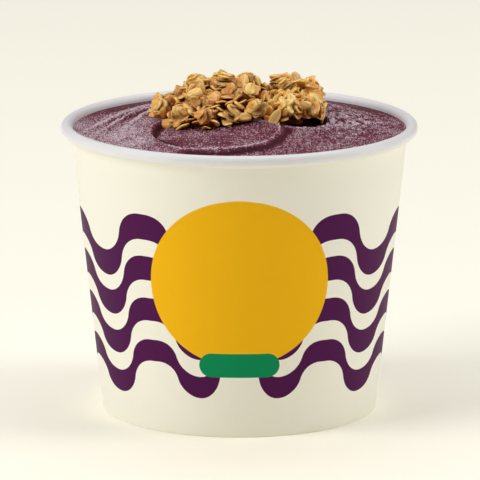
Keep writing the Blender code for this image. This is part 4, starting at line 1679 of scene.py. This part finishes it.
def make_lights(look):
    for name, azimuth, elevation, distance, size in SOFTBOXES:
        power = getattr(look, name)
        add_softbox(name, math.radians(azimuth), math.radians(elevation), distance, size, power)


def make_world(look):
    """Cream all round: full strength to the camera, weaker as light."""
    world = bpy.data.worlds.new("studio")
    world.use_nodes = True
    bpy.context.scene.world = world
    tree = world.node_tree
    tree.nodes.clear()
    seen = add_node(tree, "ShaderNodeBackground", Color=(*look.backdrop, 1.0), Strength=1.0)
    light = add_node(tree, "ShaderNodeBackground", Color=AMBIENT_COLOUR, Strength=look.ambient)
    path = tree.nodes.new("ShaderNodeLightPath")
    mix = tree.nodes.new("ShaderNodeMixShader")
    tree.links.new(path.outputs["Is Camera Ray"], mix.inputs[0])
    tree.links.new(light.outputs[0], mix.inputs[1])
    tree.links.new(seen.outputs[0], mix.inputs[2])
    output = tree.nodes.new("ShaderNodeOutputWorld")
    tree.links.new(mix.outputs[0], output.inputs["Surface"])


def make_floor(look):
    bm = bmesh.new()
    bmesh.ops.create_circle(bm, cap_ends=True, segments=FLOOR_SIDES, radius=look.floor_radius)
    floor = object_from("floor", bm, (floor_material(),))
    return floor


def make_camera():
    data = bpy.data.cameras.new("camera")
    data.sensor_width = SENSOR_WIDTH
    data.lens = CAMERA_LENS
    camera = linked_object("camera", data)
    back = Vector((0.0, -math.cos(CAMERA_ELEVATION), math.sin(CAMERA_ELEVATION)))
    camera.location = CAMERA_AIM + back * CAMERA_DISTANCE
    camera.rotation_euler = back.to_track_quat("Z", "Y").to_euler()
    bpy.context.scene.camera = camera


# Operators


class ACAI_OT_tub(bpy.types.Operator):
    """Paper wall with its print, rolled rim and lap seam, and the base disc in its heel"""

    bl_idname = "acai.tub"
    bl_label = "Tub"

    def execute(self, context):
        hand_over(make_tub_wall(), "cup_wall")
        hand_over(make_tub_base(), "cup_base")
        return {"FINISHED"}


class ACAI_OT_heel_ribs(bpy.types.Operator):
    """Crimps pressed round the inside of the heel"""

    bl_idname = "acai.heel_ribs"
    bl_label = "Heel Ribs"

    def execute(self, context):
        hand_over(make_heel_ribs())
        return {"FINISHED"}


class ACAI_OT_puree(bpy.types.Operator):
    """Frozen puree with the spoon's marks, and the frost crystals on it"""

    bl_idname = "acai.puree"
    bl_label = "Puree and Frost"

    def execute(self, context):
        puree = make_puree()
        hand_over(make_crystals(puree))
        hand_over(puree, "acai")
        return {"FINISHED"}


class ACAI_OT_granola(bpy.types.Operator):
    """Crust of the heap, with the oat flakes, kernels and crumbs on it"""

    bl_idname = "acai.granola"
    bl_label = "Granola"

    def execute(self, context):
        hand_over(make_core(), "granola")
        hand_over(make_flakes(), "granola")
        hand_over(make_kernels())
        return {"FINISHED"}


class ACAI_OT_stage(bpy.types.Operator):
    """Pale floor, soft lights and the camera"""

    bl_idname = "acai.stage"
    bl_label = "Stage"

    def execute(self, context):
        look = looks().stage
        make_floor(look)
        make_world(look)
        make_lights(look)
        make_camera()
        context.scene.view_settings.view_transform = "Standard"
        return {"FINISHED"}


OPERATORS = (ACAI_OT_tub, ACAI_OT_heel_ribs, ACAI_OT_puree, ACAI_OT_granola, ACAI_OT_stage)


class AcaiTub(bpy.types.PropertyGroup):
    """Everything that a user can set."""

    tub: PointerProperty(type=TubLook)
    puree: PointerProperty(type=PureeLook)
    granola: PointerProperty(type=GranolaLook)
    stage: PointerProperty(type=StageLook)


class ACAI_PT_panel(bpy.types.Panel):
    """Lists the pieces in the order in which they are made"""

    bl_idname = "ACAI_PT_panel"
    bl_label = "Acai Tub"
    bl_space_type = "VIEW_3D"
    bl_region_type = "UI"
    bl_category = "Acai Tub"

    def draw(self, context):
        layout = self.layout
        for operator in OPERATORS:
            layout.operator(operator.bl_idname)
        for look in (looks().tub, looks().puree, looks().granola, looks().stage):
            box = layout.box()
            for name in look.__annotations__:
                box.prop(look, name)


CLASSES = (TubLook, PureeLook, GranolaLook, StageLook, AcaiTub, *OPERATORS, ACAI_PT_panel)


def register():
    for made in CLASSES:
        bpy.utils.register_class(made)
    bpy.types.Scene.acai_tub = PointerProperty(type=AcaiTub)


def unregister():
    del bpy.types.Scene.acai_tub
    for made in reversed(CLASSES):
        bpy.utils.unregister_class(made)


def main():
    register()
    bpy.ops.acai.tub()
    bpy.ops.acai.heel_ribs()
    bpy.ops.acai.puree()
    bpy.ops.acai.granola()
    bpy.ops.acai.stage()


if __name__ == "__main__":
    main()
